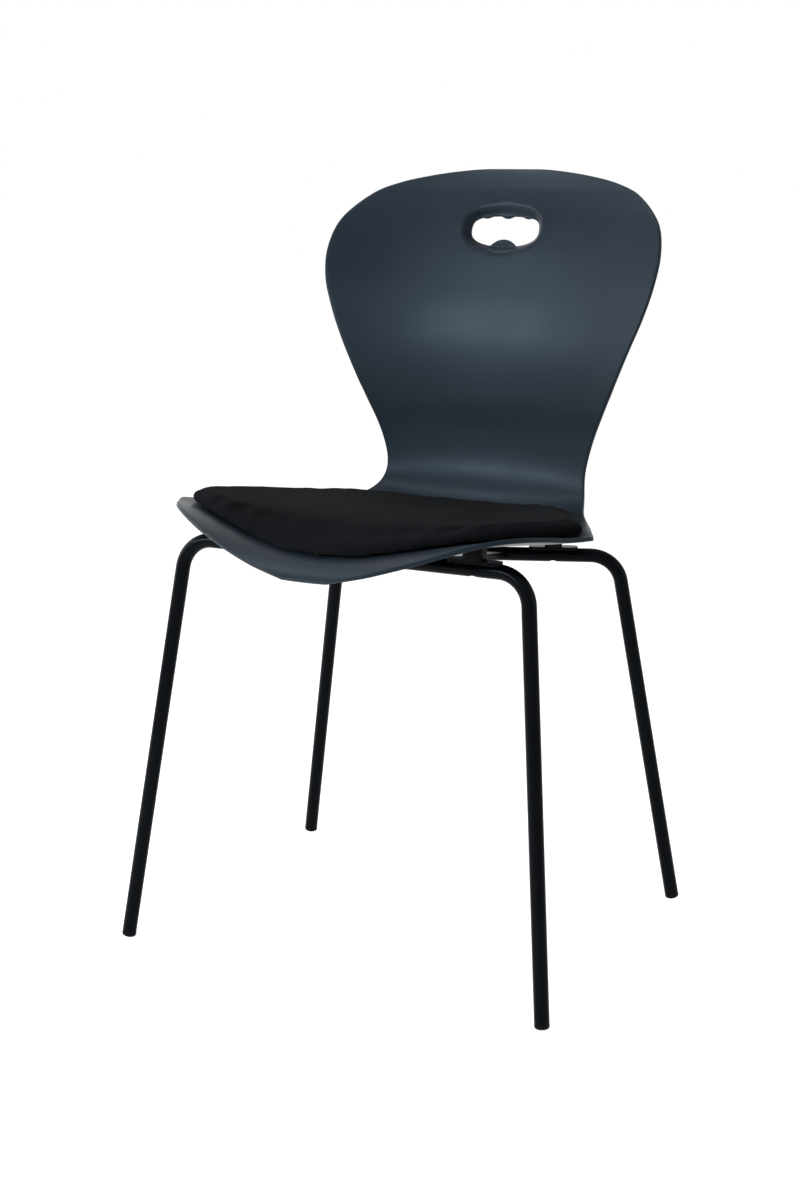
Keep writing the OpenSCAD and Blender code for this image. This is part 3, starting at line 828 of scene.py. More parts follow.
@dataclass
class FingerHole:
    """The hole in the back: three ridges between the fingers, a palm bump, and a rolled recess."""

    width: float = 88 * MM
    height: float = 38 * MM
    down: float = 69 * MM
    ridge_h: float = 3 * MM
    pitch: float = 27 * MM
    ridge_d: float = 22 * MM
    bump_w: float = 40 * MM
    recess: float = 8 * MM
    roll_top: float = 13 * MM
    roll_side: float = 7 * MM
    back_roll: float = 5 * MM
    softening: int = 2
    bump_rise: float = 9 * MM
    round_top: float = 3.4
    round_low: float = 2.3
    squeeze: float = 1.0
    outline_steps: int = 1441
    gap_steps: int = 361

    def plain(self, steps: int) -> tuple[np.ndarray, np.ndarray]:
        """The outline without its ridges and bump, clockwise from the top's middle.

        Args:
            steps: how many points.

        Returns:
            Places across, and places along the leaning face.
        """
        angles = np.radians(90 - np.linspace(0, 360, steps))
        power = 2 / np.where(np.sin(angles) > 0, self.round_top, self.round_low)
        shares = [np.sign(f(angles)) * np.abs(f(angles)) ** power for f in (np.cos, np.sin)]
        return self.width / 2 * shares[0], self.height / 2 * shares[1]

    def outline(self, count: int) -> np.ndarray:
        """Points of the hole's edge, evenly spaced, clockwise from the top's middle.

        Args:
            count: how many points.

        Returns:
            Points as x and height over the hole's middle.
        """
        half_h = self.height / 2
        x, z = self.plain(self.outline_steps)
        radius = self.ridge_d / 2
        for k in (-1, 0, 1):
            away = np.abs(x - k * self.pitch)
            under = half_h - self.ridge_h + radius - np.sqrt(np.maximum(radius**2 - away**2, 0))
            z = np.where((z > 0) & (away < radius), np.minimum(z, under), z)
        bump_r = self.bump_w / 2
        over = -half_h + self.bump_rise - bump_r + np.sqrt(np.maximum(bump_r**2 - x**2, 0))
        z = np.where((z < 0) & (np.abs(x) < bump_r), np.maximum(z, over), z)
        run = np.concatenate([[0], np.cumsum(np.hypot(np.diff(x), np.diff(z)))])
        places = np.linspace(0, run[-1], count, endpoint=False)
        points = np.column_stack([np.interp(places, run, x), np.interp(places, run, z)])
        for _ in range(self.softening):
            points = (np.roll(points, 1, axis=0) + 2 * points + np.roll(points, -1, axis=0)) / 4
        return points * (1.0, self.squeeze)

    def sink(self, x: float, z: float, wider: float = 0.0) -> float:
        """How far the recess lies below the shell's face at a point beside the hole.

        Args:
            x: the point's place across.
            z: its height over the hole's middle.
            wider: how much further out the recess starts.

        Returns:
            The depth in metres.
        """
        power = self.round_top if z > 0 else self.round_low
        over = abs(2 * x / self.width) ** power + abs(2 * z / self.squeeze / self.height) ** power
        edge_x, edge_z = self.plain(self.gap_steps)
        gap = float(np.min(np.hypot(edge_x - x, edge_z * self.squeeze - z))) if over > 1 else 0.0
        upward = max(0.0, z / math.hypot(x, z)) if x or z else 0.0
        roll = self.roll_side + (self.roll_top - self.roll_side) * upward**2 + wider
        t = max(0.0, 1 - gap / roll)
        return self.recess * t * t * (3 - 2 * t)


@dataclass
class Shell:
    """The moulded seat and back, in place of the solid one."""

    surface: ShellSurface = field(default_factory=ShellSurface)
    hole: FingerHole = field(default_factory=FingerHole)
    coarse: float = 6 * MM
    fine: float = 3 * MM
    patch_half_w: float = 66 * MM
    patch_over: float = 45 * MM
    rings: tuple[float, ...] = (0.82, 0.64, 0.48, 0.35, 0.25, 0.17, 0.11, 0.06, 0.025, 0.0)
    rim_round: float = 1.4 * MM
    sharp_angle: float = 50.0
    waist: tuple[float, float] = (16.8, 2.3)
    waist_rounds: int = 55
    waist_least: float = 0.02
    run_steps: int = 2400
    patch_steps: int = 300
    patch_margin: float = 1.2
    sitter: tuple[float, float, float] = (0.0, -1.0, 1.0)

    def _rows(self) -> tuple[np.ndarray, int, int]:
        """Places of the mesh's rows, closer together beside the finger hole.

        Returns:
            The places, and the numbers of the rows just under and over the hole's patch.
        """
        surface = self.surface
        fine = np.linspace(0, surface.last, self.run_steps)
        values = np.array([curve_at(surface.rows, t)[:3] for t in fine])
        run = np.concatenate([[0], np.cumsum(np.linalg.norm(np.diff(values, axis=0), axis=1))])
        middle = surface.height - self.hole.down
        low = float(np.interp(surface.place_at_height(middle - self.patch_over), fine, run))
        high = float(np.interp(surface.place_at_height(middle + self.patch_over), fine, run))
        spans = ((0.0, low, self.coarse), (low, high, self.fine), (high, run[-1], self.coarse))
        parts = [np.linspace(start, end, max(2, math.ceil((end - start) / step) + 1))
                 for start, end, step in spans]
        lengths = np.concatenate([parts[0], parts[1][1:], parts[2][1:]])
        return np.interp(lengths, run, fine), len(parts[0]) - 1, len(parts[0]) + len(parts[1]) - 2

    def _columns(self) -> tuple[np.ndarray, int, int]:
        """Places of the mesh's columns as shares of the half width, closer beside the hole.

        Returns:
            The shares, and the numbers of the columns beside the hole's patch.
        """
        half = self.surface.back_w / 2
        share = self.patch_half_w / half
        inner = np.linspace(-share, share, 2 * math.ceil(self.patch_half_w / self.fine) + 1)
        outer = np.linspace(share, 1, math.ceil((1 - share) * half / self.coarse) + 1)
        shares = np.concatenate([-outer[::-1], inner[1:-1], outer])
        return shares, len(outer) - 1, len(outer) + len(inner) - 2

    def _spread(self, piece: bpy.types.Object, rows: np.ndarray, shares: np.ndarray) -> np.ndarray:
        """Moves the grid's vertices onto the surface.

        Args:
            piece: the grid.
            rows: places of its rows.
            shares: places of its columns.

        Returns:
            For each vertex, its row and column numbers.
        """
        count = len(piece.data.vertices)
        flat = np.zeros(count * 3)
        piece.data.vertices.foreach_get("co", flat)
        flat = flat.reshape(-1, 3)
        cells = np.column_stack([np.rint((flat[:, 1] + 1) / 2 * (len(rows) - 1)),
                                 np.rint((flat[:, 0] + 1) / 2 * (len(shares) - 1))]).astype(int)
        widths = [self.surface.half_width(t) for t in rows]
        placed = np.array([self.surface.point(rows[i], shares[j] * widths[i]) for i, j in cells])
        piece.data.vertices.foreach_set("co", placed.ravel())
        piece.data.update()
        return cells

    def build(self) -> bpy.types.Object:
        """Models the shell from a grid: spread, opened, extruded into the recess, and thickened.

        Returns:
            The shell.
        """
        rows, row_low, row_high = self._rows()
        shares, column_low, column_high = self._columns()
        deselect_all()
        bpy.ops.mesh.primitive_grid_add(x_subdivisions=len(shares) - 1,
                                        y_subdivisions=len(rows) - 1, size=2)
        piece = name_new("seat_and_back_shell")
        cells = self._spread(piece, rows, shares)
        self._ease_waist(piece, rows[cells[:, 0]])
        inside = np.all((cells > (row_low, column_low)) & (cells < (row_high, column_high)), axis=1)
        self._open_patch(piece, inside)
        backs = self._extrude_recess(piece, rows[row_low], rows[row_high])
        face_towards(piece, Vector(self.sitter))
        count = len(piece.data.vertices)
        apply_modifier(piece, "SOLIDIFY", thickness=self.surface.thickness, offset=-1.0,
                       use_rim=True)
        self._shape_back(piece, backs, count)
        round_edges(piece, self.rim_round, self.sharp_angle, clamp=False)
        smooth_below(piece, self.sharp_angle)
        return piece

    def _ease_waist(self, piece: bpy.types.Object, places: np.ndarray) -> None:
        """Smooths the bend between seat and back, and the seat's rear corners.

        Args:
            piece: the spread grid.
            places: each vertex's place along the shell, in rows.
        """
        group = piece.vertex_groups.new(name="waist")
        middle, spread = self.waist
        for number, weight in enumerate(np.exp(-(((places - middle) / spread) ** 2))):
            if weight > self.waist_least:
                group.add([number], float(weight), "REPLACE")
        apply_modifier(piece, "SMOOTH", factor=SMOOTH_STEP, iterations=self.waist_rounds,
                       vertex_group=group.name)
        piece.vertex_groups.clear()

    @staticmethod
    def _open_patch(piece: bpy.types.Object, inside: np.ndarray) -> None:
        """Deletes the vertices round the finger hole.

        Args:
            piece: the grid.
            inside: for each vertex, whether it goes.
        """
        make_active(piece)
        select_vertices(piece, np.flatnonzero(inside).tolist())
        bpy.ops.mesh.delete(type="VERT")
        bpy.ops.object.mode_set(mode="OBJECT")

    def _extrude_recess(self, piece: bpy.types.Object, low: float,
                        high: float) -> list[tuple[int, Vector, Vector]]:
        """Extrudes the patch's border inwards, ring by ring, to the edge of the finger hole.

        Args:
            piece: the opened grid.
            low: place of the row under the patch.
            high: place of the row over it.

        Returns:
            For each new vertex, its number, its place, and the place of the wall's back behind it.
        """
        surface, hole = self.surface, self.hole
        middle = surface.height - hole.down
        places = np.linspace(low, high, self.patch_steps)
        heights = np.array([curve_at(surface.rows, t)[1] for t in places])
        ring = self._border(piece, middle)
        start = [(piece.data.vertices[n].co.x, piece.data.vertices[n].co.z - middle) for n in ring]
        hole.squeeze = math.cos(self._lean(middle))
        edge = hole.outline(len(ring))
        backs = []
        make_active(piece)
        for share in self.rings:
            select_vertices(piece, ring)
            bpy.ops.mesh.select_mode(type="EDGE")
            bpy.ops.mesh.extrude_edges_move()
            bpy.ops.object.mode_set(mode="OBJECT")
            ring = self._next_ring(piece, ring)
            for number, outer, inner in zip(ring, start, edge):
                x, up = inner + (np.array(outer) - inner) * share
                t = float(np.interp(middle + up, heights, places))
                base, normal = surface.point(t, x), surface.normal(t)
                front = Vector(base - hole.sink(x, up) * normal)
                behind = surface.thickness + hole.sink(x, up, hole.back_roll)
                piece.data.vertices[number].co = front
                backs.append((number, front, Vector(base - behind * normal)))
        return backs

    def _lean(self, middle: float) -> float:
        """How far the back leans at the finger hole.

        Args:
            middle: height of the hole's middle.

        Returns:
            The angle in radians.
        """
        surface, half = self.surface, self.hole.height / 2
        places = [surface.place_at_height(middle + side * half) for side in (-1, 1)]
        low, high = (surface.point(t, 0.0) for t in places)
        return math.atan2(high[1] - low[1], self.hole.height)

    @staticmethod
    def _next_ring(piece: bpy.types.Object, ring: list[int]) -> list[int]:
        """Numbers of the vertices that an extrusion has just made, in the old ring's order.

        Args:
            piece: the mesh's object.
            ring: the ring that was extruded.

        Returns:
            The new ring.
        """
        old, first, links = set(ring), len(piece.data.vertices) - len(ring), {}
        for edge in piece.data.edges:
            a, b = edge.vertices
            if a in old and b >= first:
                links[a] = b
            elif b in old and a >= first:
                links[b] = a
        return [links[number] for number in ring]

    def _border(self, piece: bpy.types.Object, middle: float) -> list[int]:
        """Walks round the opened patch clockwise from the middle of its top, seen from the front.

        Args:
            piece: the opened grid.
            middle: height of the hole's middle.

        Returns:
            Numbers of the border's vertices in order.
        """
        mesh = bmesh.new()
        mesh.from_mesh(piece.data)
        mesh.verts.index_update()
        far_x, far_z = self.patch_margin * self.patch_half_w, self.patch_margin * self.patch_over
        own = {e for e in mesh.edges if e.is_boundary and all(
            abs(v.co.x) < far_x and abs(v.co.z - middle) < far_z for v in e.verts)}
        first = max({v for e in own for v in e.verts},
                    key=lambda v: (round(v.co.z, 5), -abs(v.co.x)))
        current = max((e.other_vert(first) for e in first.link_edges if e in own),
                      key=lambda v: v.co.x)
        previous, order = first, [first.index]
        while current is not first:
            order.append(current.index)
            options = [e.other_vert(current) for e in current.link_edges if e in own]
            previous, current = current, options[0] if options[1] is previous else options[1]
        mesh.free()
        return order

    @staticmethod
    def _shape_back(piece: bpy.types.Object, backs: Sequence[tuple[int, Vector, Vector]],
                    count: int) -> None:
        """Places the wall's back behind the recess, where an even wall would fold over itself.

        Args:
            piece: the thickened shell.
            backs: each vertex's number, place and place behind.
            count: number of vertices before the wall was made.
        """
        vertices = piece.data.vertices
        for number, front, behind in backs:
            far = max((number, number + count), key=lambda n: (vertices[n].co - front).length)
            vertices[far].co = behind
        piece.data.update()


@dataclass
class ShellSupports:
    """Bosses and screw lands moulded under the shell."""

    surface: ShellSurface
    boss_w: float = 22 * MM
    boss_l: float = 20 * MM
    boss_round: float = 5 * MM
    boss_steps: int = 8
    rear_d: float = 20 * MM
    land_d: float = 14 * MM
    land_h: float = 3 * MM
    screw_w: float = 150 * MM
    screw_front: float = 146 * MM
    screw_rear: float = 185 * MM
    sink: float = 2.5 * MM
    edge_round: float = 0.8 * MM
    edge_angle: float = 60.0
    sides: int = 48

    def _height_over(self, x: float, y: float) -> float:
        """Height of the shell's lower face over a place on the seat.

        Args:
            x: place across.
            y: place along the chair.

        Returns:
            The height in metres.
        """
        return float(self.surface.seat_height(x, y)) - self.surface.thickness

    def _front(self) -> bpy.types.Object:
        """Models the right front boss from a cube with rounded upright edges.

        Returns:
            The boss.
        """
        low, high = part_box("front_right_saddle")
        centre = (low + high) / 2
        top = self._height_over(centre.x, centre.y) + self.sink
        deselect_all()
        bpy.ops.mesh.primitive_cube_add(size=1, location=(centre.x, centre.y, (high.z + top) / 2))
        piece = name_new("front_right_boss")
        piece.scale = (self.boss_w, self.boss_l, top - high.z)
        settle(piece)
        bpy.ops.object.mode_set(mode="EDIT")
        bpy.ops.mesh.select_all(action="DESELECT")
        self._select_upright(piece)
        bpy.ops.mesh.bevel(offset=self.boss_round, segments=self.boss_steps, affect="EDGES")
        bpy.ops.object.mode_set(mode="OBJECT")
        return piece

    @staticmethod
    def _select_upright(piece: bpy.types.Object) -> None:
        """Selects the upright edges of a block, in edit mode.

        Args:
            piece: the block.
        """
        mesh = bmesh.from_edit_mesh(piece.data)
        for edge in mesh.edges:
            a, b = edge.verts
            along = b.co - a.co
            edge.select_set(abs(along.z) > abs(along.x) + abs(along.y))
        bmesh.update_edit_mesh(piece.data)

    def _round_post(self, name: str, x: float, y: float, base: float,
                    diameter: float) -> bpy.types.Object:
        """Models a round post from a cylinder.

        Args:
            name: the piece's name.
            x: its place across.
            y: its place along the chair.
            base: height of its foot.
            diameter: its diameter.

        Returns:
            The post.
        """
        top = self._height_over(x, y) + self.sink
        deselect_all()
        bpy.ops.mesh.primitive_cylinder_add(vertices=self.sides, radius=diameter / 2,
                                            depth=top - base, location=(x, y, (base + top) / 2))
        piece = name_new(name)
        settle(piece)
        return piece

    def build(self) -> list[bpy.types.Object]:
        """Models the right-hand supports and copies them to the left.

        Returns:
            All supports.
        """
        low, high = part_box("rear_right_saddle")
        centre = (low + high) / 2
        rear = self._round_post("rear_right_boss", centre.x, centre.y, high.z, self.rear_d)
        pieces = [self._front(), rear]
        setbacks = (self.screw_front, self.surface.depth - self.screw_rear)
        for number, setback in enumerate(setbacks, start=1):
            x, y = self.screw_w / 2, setback + self.surface.shift
            base = self._height_over(x, y) - self.land_h
            pieces.append(self._round_post(f"right_screw_land_{number}", x, y, base, self.land_d))
        for piece in pieces:
            round_edges(piece, self.edge_round, self.edge_angle)
            smooth_below(piece, SHARP_ANGLE)
        return pieces + [self._mirrored(piece) for piece in pieces]

    @staticmethod
    def _mirrored(piece: bpy.types.Object) -> bpy.types.Object:
        """Copies a right-hand piece to the left, with its own mesh.

        Args:
            piece: the right-hand piece.

        Returns:
            The left-hand piece.
        """
        twin = piece.copy()
        twin.data = piece.data.copy()
        twin.name = piece.name.replace("right", "left")
        bpy.context.scene.collection.objects.link(twin)
        twin.scale = (-1, 1, 1)
        settle(twin)
        face_outwards(twin)
        smooth_below(twin, SHARP_ANGLE)
        return twin


# The leg bows


@dataclass
class LegBow:
    """A bent tube with a plain hole in its lower wall under each fixing."""

    name: str
    node: str
    path: tuple[Vector, ...]
    radii: tuple[float, ...]
    saddles: tuple[str, str]
    diameter: float = 16 * MM
    wall: float = 2 * MM
    end_gap: float = 5 * MM
    sides: int = 48
    bend_steps: int = 14
    access_d: float = 11 * MM
    access_sides: int = 32
    access_drop: float = 1.2

    def build(self) -> bpy.types.Object:
        """Models the tube: a circle, extruded along each straight and spun through each bend.

        Returns:
            The tube.
        """
        first, second = self.path[0], self.path[1]
        along = (second - first).normalized()
        start = first + along * self.end_gap
        deselect_all()
        bpy.ops.mesh.primitive_circle_add(vertices=self.sides, radius=self.diameter / 2,
                                          location=start,
                                          rotation=along.to_track_quat("Z", "Y").to_euler())
        piece = name_new(self.name)
        settle(piece)
        bpy.ops.object.mode_set(mode="EDIT")
        bpy.ops.mesh.select_all(action="SELECT")
        position = start
        for i in range(1, len(self.path) - 1):
            position = self._straight_and_bend(i, position)
        last = self.path[-1] - (self.path[-1] - self.path[-2]).normalized() * self.end_gap
        bpy.ops.mesh.extrude_region_move(TRANSFORM_OT_translate={"value": last - position})
        bpy.ops.object.mode_set(mode="OBJECT")
        face = min(piece.data.polygons, key=lambda polygon: polygon.center.z)
        foot = min((self.path[0], self.path[-1]), key=lambda point: (point - face.center).length)
        leg = along if foot is self.path[0] else (self.path[-2] - self.path[-1]).normalized()
        away = face.center - foot
        face_towards(piece, away - leg * away.dot(leg), face.index)
        apply_modifier(piece, "SOLIDIFY", thickness=self.wall, offset=-1.0, use_rim=True)
        for saddle in self.saddles:
            self._drill(piece, saddle)
        smooth_below(piece, SHARP_ANGLE)
        return piece

    def _straight_and_bend(self, i: int, position: Vector) -> Vector:
        """Extrudes up to a bend and spins through it.

        Args:
            i: number of the path's corner.
            position: where the tube ends so far.

        Returns:
            Where it ends after the bend.
        """
        before = (self.path[i] - self.path[i - 1]).normalized()
        after = (self.path[i + 1] - self.path[i]).normalized()
        angle = before.angle(after)
        reach = self.radii[i] * math.tan(angle / 2)
        start = self.path[i] - before * reach
        bpy.ops.mesh.extrude_region_move(TRANSFORM_OT_translate={"value": start - position})
        inward = (after - before * before.dot(after)).normalized()
        centre = start + inward * self.radii[i]
        # With no window, spin turns against the right-hand rule
        bpy.ops.mesh.spin(steps=self.bend_steps, angle=-angle, center=centre,
                          axis=before.cross(after).normalized())
        return self.path[i] + after * reach

    def _drill(self, piece: bpy.types.Object, saddle: str) -> None:
        """Cuts the hole that a bolt's head passes, in the tube's lower wall.

        Args:
            piece: the tube.
            saddle: the CAD node over the hole.
        """
        low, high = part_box(saddle)
        centre = (low + high) / 2
        deselect_all()
        middle = (centre.x, centre.y, high.z - self.diameter * self.access_drop)
        bpy.ops.mesh.primitive_cylinder_add(vertices=self.access_sides, radius=self.access_d / 2,
                                            depth=self.diameter, location=middle)
        cutter = name_new("drill")
        apply_modifier(piece, "BOOLEAN", operation="DIFFERENCE", object=cutter, solver="EXACT")
        bpy.data.objects.remove(cutter)


@dataclass
class Frame:
    """Both leg bows, from the same sizes as the solids."""

    shift: float
    front_z: float = 453.6 * MM
    rear_step: float = 38 * MM
    front_feet_w: float = 511 * MM
    front_bend_w: float = 409 * MM
    front_feet_back: float = 37 * MM
    front_tube_back: float = 100 * MM
    rear_feet_w: float = 500 * MM
    rear_bend_w: float = 363 * MM
    rear_feet_back: float = 435 * MM
    rear_bend_back: float = 401 * MM
    rear_apex_back: float = 328 * MM
    bend_r: float = 36 * MM
    apex_r: float = 120 * MM

    def _at(self, x: float, back: float, z: float) -> Vector:
        """A point by its place across, its setback and its height."""
        return Vector((x, back + self.shift, z))

    def _path(self, feet: tuple[float, float], bends: tuple[float, float], z: float,
              *apex: float) -> tuple[Vector, ...]:
        """Corners of a bow, from its left foot to its right one.

        Args:
            feet: width and setback of its feet.
            bends: width and setback of its upper bends.
            z: height of its cross tube.
            *apex: setback of the cross tube's own bend, if it has one.

        Returns:
            The corners.
        """
        (foot_w, foot_back), (bend_w, bend_back) = feet, bends
        return (self._at(-foot_w / 2, foot_back, 0), self._at(-bend_w / 2, bend_back, z),
                *(self._at(0, back, z) for back in apex),
                self._at(bend_w / 2, bend_back, z), self._at(foot_w / 2, foot_back, 0))

    def bows(self) -> list[LegBow]:
        """Describes the two bows.

        Returns:
            The front one and the rear one.
        """
        bend, rear_z = self.bend_r, self.front_z - self.rear_step
        front = self._path((self.front_feet_w, self.front_feet_back),
                           (self.front_bend_w, self.front_tube_back), self.front_z)
        rear = self._path((self.rear_feet_w, self.rear_feet_back),
                          (self.rear_bend_w, self.rear_bend_back), rear_z, self.rear_apex_back)
        return [
            LegBow("front_tube", "front_leg_bow", front, (0, bend, bend, 0),
                   ("front_left_saddle", "front_right_saddle")),
            LegBow("rear_tube", "rear_leg_bow", rear, (0, bend, self.apex_r, bend, 0),
                   ("rear_left_saddle", "rear_right_saddle")),
        ]


# The pad


@dataclass
class SeatPad:
    """The upholstered pad, inflated as cloth, in place of the foam and the cover."""

    surface: ShellSurface
    solids: tuple[bpy.types.Object, ...]
    voxel: float = 4.5 * MM
    shrink: float = 0.8 * MM
    pressure: float = 4.0
    frames: int = 20
    most: float = 4 * MM
    fill: float = 0.9
    tuck: float = 0.7 * MM
    tuck_height: float = 4.5 * MM
    tuck_spread: float = 3 * MM
    smoothing: int = 4
    calming: int = 7
    quality: int = 5
    under_normal: float = -0.35
    side_normal: float = 0.6

    def build(self) -> bpy.types.Object:
        """Makes the pad's closed form, swells it and tucks its edge.

        Returns:
            The pad.
        """
        piece = self._closed_form()
        apply_modifier(piece, "SMOOTH", factor=SMOOTH_STEP, iterations=self.smoothing)
        apply_modifier(piece, "DISPLACE", strength=-self.shrink, mid_level=0.0)
        self._swell(piece, self._coordinates(piece), self._under(piece))
        apply_modifier(piece, "SMOOTH", factor=SMOOTH_STEP, iterations=self.calming)
        apply_modifier(piece, "SUBSURF", levels=1, render_levels=1)
        self._tuck_edge(piece)
        make_active(piece)
        bpy.ops.object.shade_smooth()
        return piece

    @staticmethod
    def _coordinates(piece: bpy.types.Object) -> np.ndarray:
        """Vertex places of a mesh.

        Args:
            piece: the object.

        Returns:
            A row for each vertex.
        """
        flat = np.zeros(len(piece.data.vertices) * 3)
        piece.data.vertices.foreach_get("co", flat)
        return flat.reshape(-1, 3)

    def _under(self, piece: bpy.types.Object) -> np.ndarray:
        """Marks the vertices that lie on the underside."""
        return np.array([v.normal.z < self.under_normal for v in piece.data.vertices])

    def _tuck_edge(self, piece: bpy.types.Object) -> None:
        """Draws the pad's side in along the fold where the cover turns under.

        Args:
            piece: the pad.
        """
        places = self._coordinates(piece)
        normals = np.array([v.normal for v in piece.data.vertices])
        seat = self.surface.seat_height(places[:, 0], places[:, 1])
        over = (places[:, 2] - seat - self.tuck_height) / self.tuck_spread
        weight = np.exp(-(over**2)) * (np.abs(normals[:, 2]) < self.side_normal)
        places[:, :2] -= self.tuck * weight[:, None] * normals[:, :2]
        piece.data.vertices.foreach_set("co", places.ravel())
        piece.data.update()

    def _closed_form(self) -> bpy.types.Object:
        """Joins copies of the board, foam and cover and remeshes them into one closed skin.

        Returns:
            The form.
        """
        deselect_all()
        copies = []
        for source in self.solids:
            twin = bpy.data.objects.new("seat_pad", source.data.copy())
            bpy.context.scene.collection.objects.link(twin)
            twin.select_set(True)
            copies.append(twin)
        bpy.context.view_layer.objects.active = copies[0]
        bpy.ops.object.join()
        piece = name_new("seat_pad")
        piece.data.materials.clear()
        face_outwards(piece)
        apply_modifier(piece, "REMESH", mode="VOXEL", voxel_size=self.voxel)
        return piece

    def _swell(self, piece: bpy.types.Object, rest: np.ndarray, under: np.ndarray) -> None:
        """Runs the cloth under pressure, then caps how far each point has moved.

        Args:
            piece: the form.
            rest: its places before.
            under: which vertices lie on the underside and stay.
        """
        make_active(piece)
        pins = piece.vertex_groups.new(name="held")
        pins.add(np.flatnonzero(under).tolist(), 1.0, "REPLACE")
        modifier = piece.modifiers.new("Cloth", "CLOTH")
        settings = modifier.settings
        settings.use_pressure = True
        settings.uniform_pressure_force = self.pressure
        settings.effector_weights.gravity = 0
        settings.vertex_group_mass = pins.name
        settings.quality = self.quality
        scene = bpy.context.scene
        for frame in range(1, self.frames + 1):
            scene.frame_set(frame)
        bpy.ops.object.modifier_apply(modifier=modifier.name)
        scene.frame_set(1)
        moved = self._coordinates(piece) - rest
        length = np.linalg.norm(moved, axis=1, keepdims=True)
        moved *= self.most / np.maximum(length, self.most)
        moved[under] = 0
        piece.data.vertices.foreach_set("co", (rest + moved).ravel())
        piece.data.update()


# The studio


@dataclass(frozen=True)
class SoftBox:
    """A soft box: an area lamp that faces a point."""

    name: str
    place: tuple[float, float, float]
    target: tuple[float, float, float]
    size: tuple[float, float]
    power: float

    def add(self) -> None:
        """Adds the lamp to the scene."""
        data = bpy.data.lights.new(self.name, "AREA")
        data.shape = "RECTANGLE"
        data.size, data.size_y = self.size
        data.energy = self.power
        lamp = bpy.data.objects.new(self.name, data)
        lamp.location = self.place
        towards = Vector(self.target) - Vector(self.place)
        lamp.rotation_euler = towards.to_track_quat("-Z", "Y").to_euler()
        bpy.context.scene.collection.objects.link(lamp)


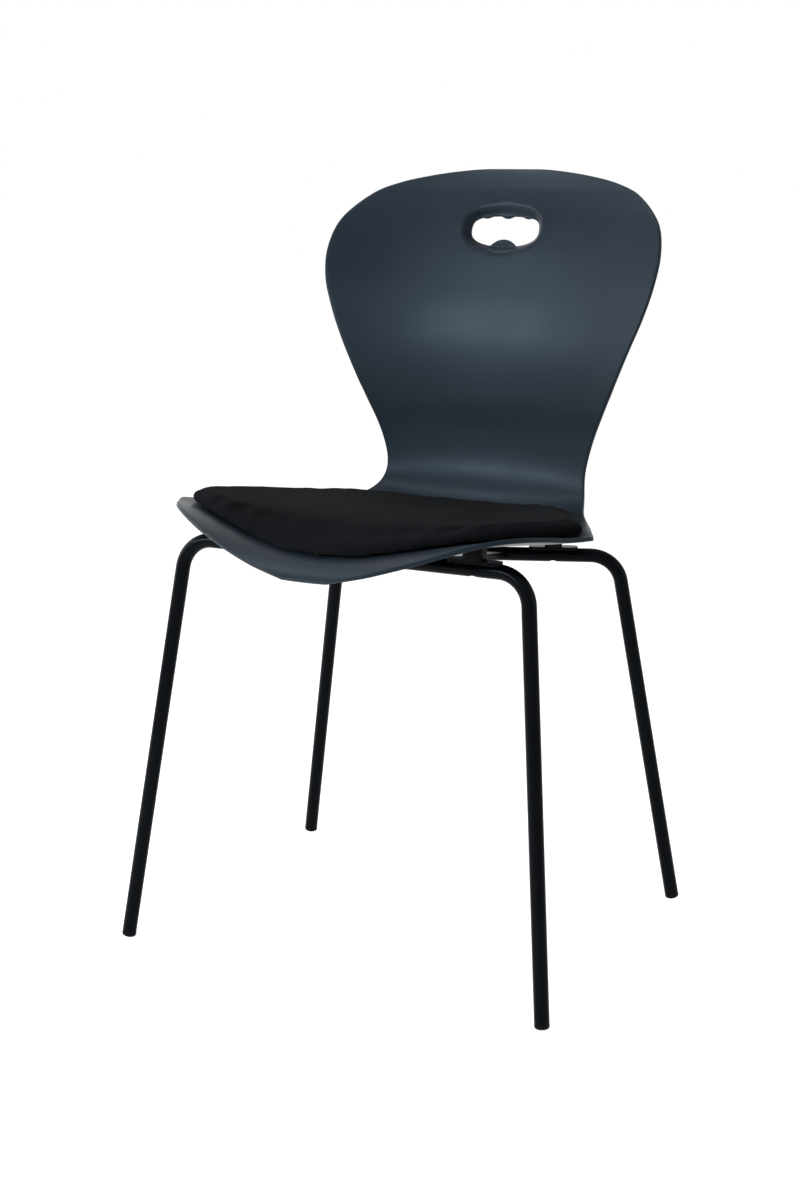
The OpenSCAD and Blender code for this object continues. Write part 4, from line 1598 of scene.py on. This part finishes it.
@dataclass
class Studio:
    """Camera at the photograph's place, a pale floor and soft lights."""

    camera_at: tuple[float, float, float] = (0.9632, -1.8635, 0.8621)
    yaw: float = 27.85
    pitch: float = 13.09
    focal_px: float = 1910.0
    frame_px: float = 1200.0
    sensor: float = 36.0
    far: float = 60.0
    floor_half: float = 12.0
    floor_grey: float = 0.86
    floor_rough: float = 0.9
    floor_white: float = 0.85
    sky: float = 0.18
    boxes: tuple[SoftBox, ...] = (
        SoftBox("front_box", (-1.15, -2.1, 1.2), (0.0, 0.15, 0.68), (1.7, 0.3), 54),
        SoftBox("top_box", (-0.7, -0.2, 2.1), (0.0, 0.1, 0.5), (0.3, 0.3), 7),
        SoftBox("left_box", (-2.4, -0.6, 1.1), (0.0, 0.0, 0.4), (0.25, 1.4), 18),
        SoftBox("right_box", (2.6, 0.2, 1.3), (0.0, 0.0, 0.4), (0.3, 1.4), 8),
    )

    def camera(self) -> None:
        """Adds the camera and makes it the scene's."""
        data = bpy.data.cameras.new("camera")
        data.sensor_width = self.sensor
        data.sensor_fit = "AUTO"
        data.lens = self.sensor * self.focal_px / self.frame_px
        data.clip_end = self.far
        camera = bpy.data.objects.new("camera", data)
        camera.location = self.camera_at
        camera.rotation_euler = (math.radians(90 - self.pitch), 0, math.radians(self.yaw))
        bpy.context.scene.collection.objects.link(camera)
        bpy.context.scene.camera = camera

    def floor(self) -> None:
        """Adds the floor, which shows white to the camera and lies under the chair."""
        deselect_all()
        bpy.ops.mesh.primitive_plane_add(size=2 * self.floor_half, location=(0, 0, 0))
        piece = name_new("floor")
        material = bpy.data.materials.new("pale_floor")
        material.use_nodes = True
        shader = Shader(material.node_tree)
        surface = material.node_tree.nodes["Principled BSDF"]
        surface.inputs["Base Color"].default_value = (*(self.floor_grey,) * 3, 1.0)
        surface.inputs["Roughness"].default_value = self.floor_rough
        surface.inputs["Specular IOR Level"].default_value = 0.0
        glow = shader.add("Emission", Color=(1, 1, 1, 1))
        rays = shader.add("LightPath")
        both = shader.add("AddShader")
        white = shader.math("MULTIPLY", shader.seen(rays), self.floor_white)
        shader.join(white, glow.inputs["Strength"])
        shader.join(surface.outputs[0], both.inputs[0])
        shader.join(glow.outputs[0], both.inputs[1])
        output = material.node_tree.nodes["Material Output"]
        shader.join(both.outputs[0], output.inputs["Surface"])
        piece.data.materials.append(material)

    def world(self) -> None:
        """Sets the world: soft light on the object, white to the camera."""
        world = bpy.data.worlds.new("studio")
        world.use_nodes = True
        bpy.context.scene.world = world
        shader = Shader(world.node_tree)
        back = world.node_tree.nodes["Background"]
        back.inputs["Color"].default_value = (1, 1, 1, 1)
        rays = shader.add("LightPath")
        strength = shader.ramp(shader.seen(rays), 0.0, 1.0, self.sky, 1.0)
        shader.join(strength, back.inputs["Strength"])

    def build(self) -> None:
        """Sets up the whole studio."""
        bpy.context.scene.view_settings.view_transform = "Standard"
        self.camera()
        self.world()
        for box in self.boxes:
            box.add()
        self.floor()


def dress_solids(nodes: dict[str, bpy.types.Object], record: dict, finishes: Finishes) -> None:
    """Gives each carried-over solid its slot's material.

    Args:
        nodes: the CAD nodes by name.
        record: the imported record.
        finishes: the materials.
    """
    slots = {part["node"]: Slot(part["material_slot"]) for part in record["subparts"]}
    for name, solid in nodes.items():
        material = finishes[slots[name]]
        solid.data.materials.clear()
        solid.data.materials.append(material)


def main() -> None:
    """Builds the chair's looks."""
    logging.basicConfig(level=logging.INFO, format="%(message)s")
    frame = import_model()
    Studio().build()
    finishes = Finishes(Effects())
    dress_solids(frame["nodes"], frame["record"], finishes)
    shell = Shell()
    body = shell.build()
    finish_piece(body, Slot.SHELL, finishes[Slot.SHELL], "shell")
    for support in ShellSupports(shell.surface).build():
        slot = Slot.FOOT if "boss" in support.name else Slot.SHELL
        finish_piece(support, slot, finishes[slot])
    for bow in Frame(shell.surface.shift).bows():
        finish_piece(bow.build(), Slot.FRAME, finishes[Slot.FRAME], bow.node)
    pad = SeatPad(shell.surface, tuple(frame["nodes"][name] for name in PAD_NODES))
    cushion = pad.build()
    finish_piece(cushion, Slot.FABRIC, finishes[Slot.FABRIC], *PAD_NODES)
    bpy.context.view_layer.update()


if __name__ == "__main__":
    main()
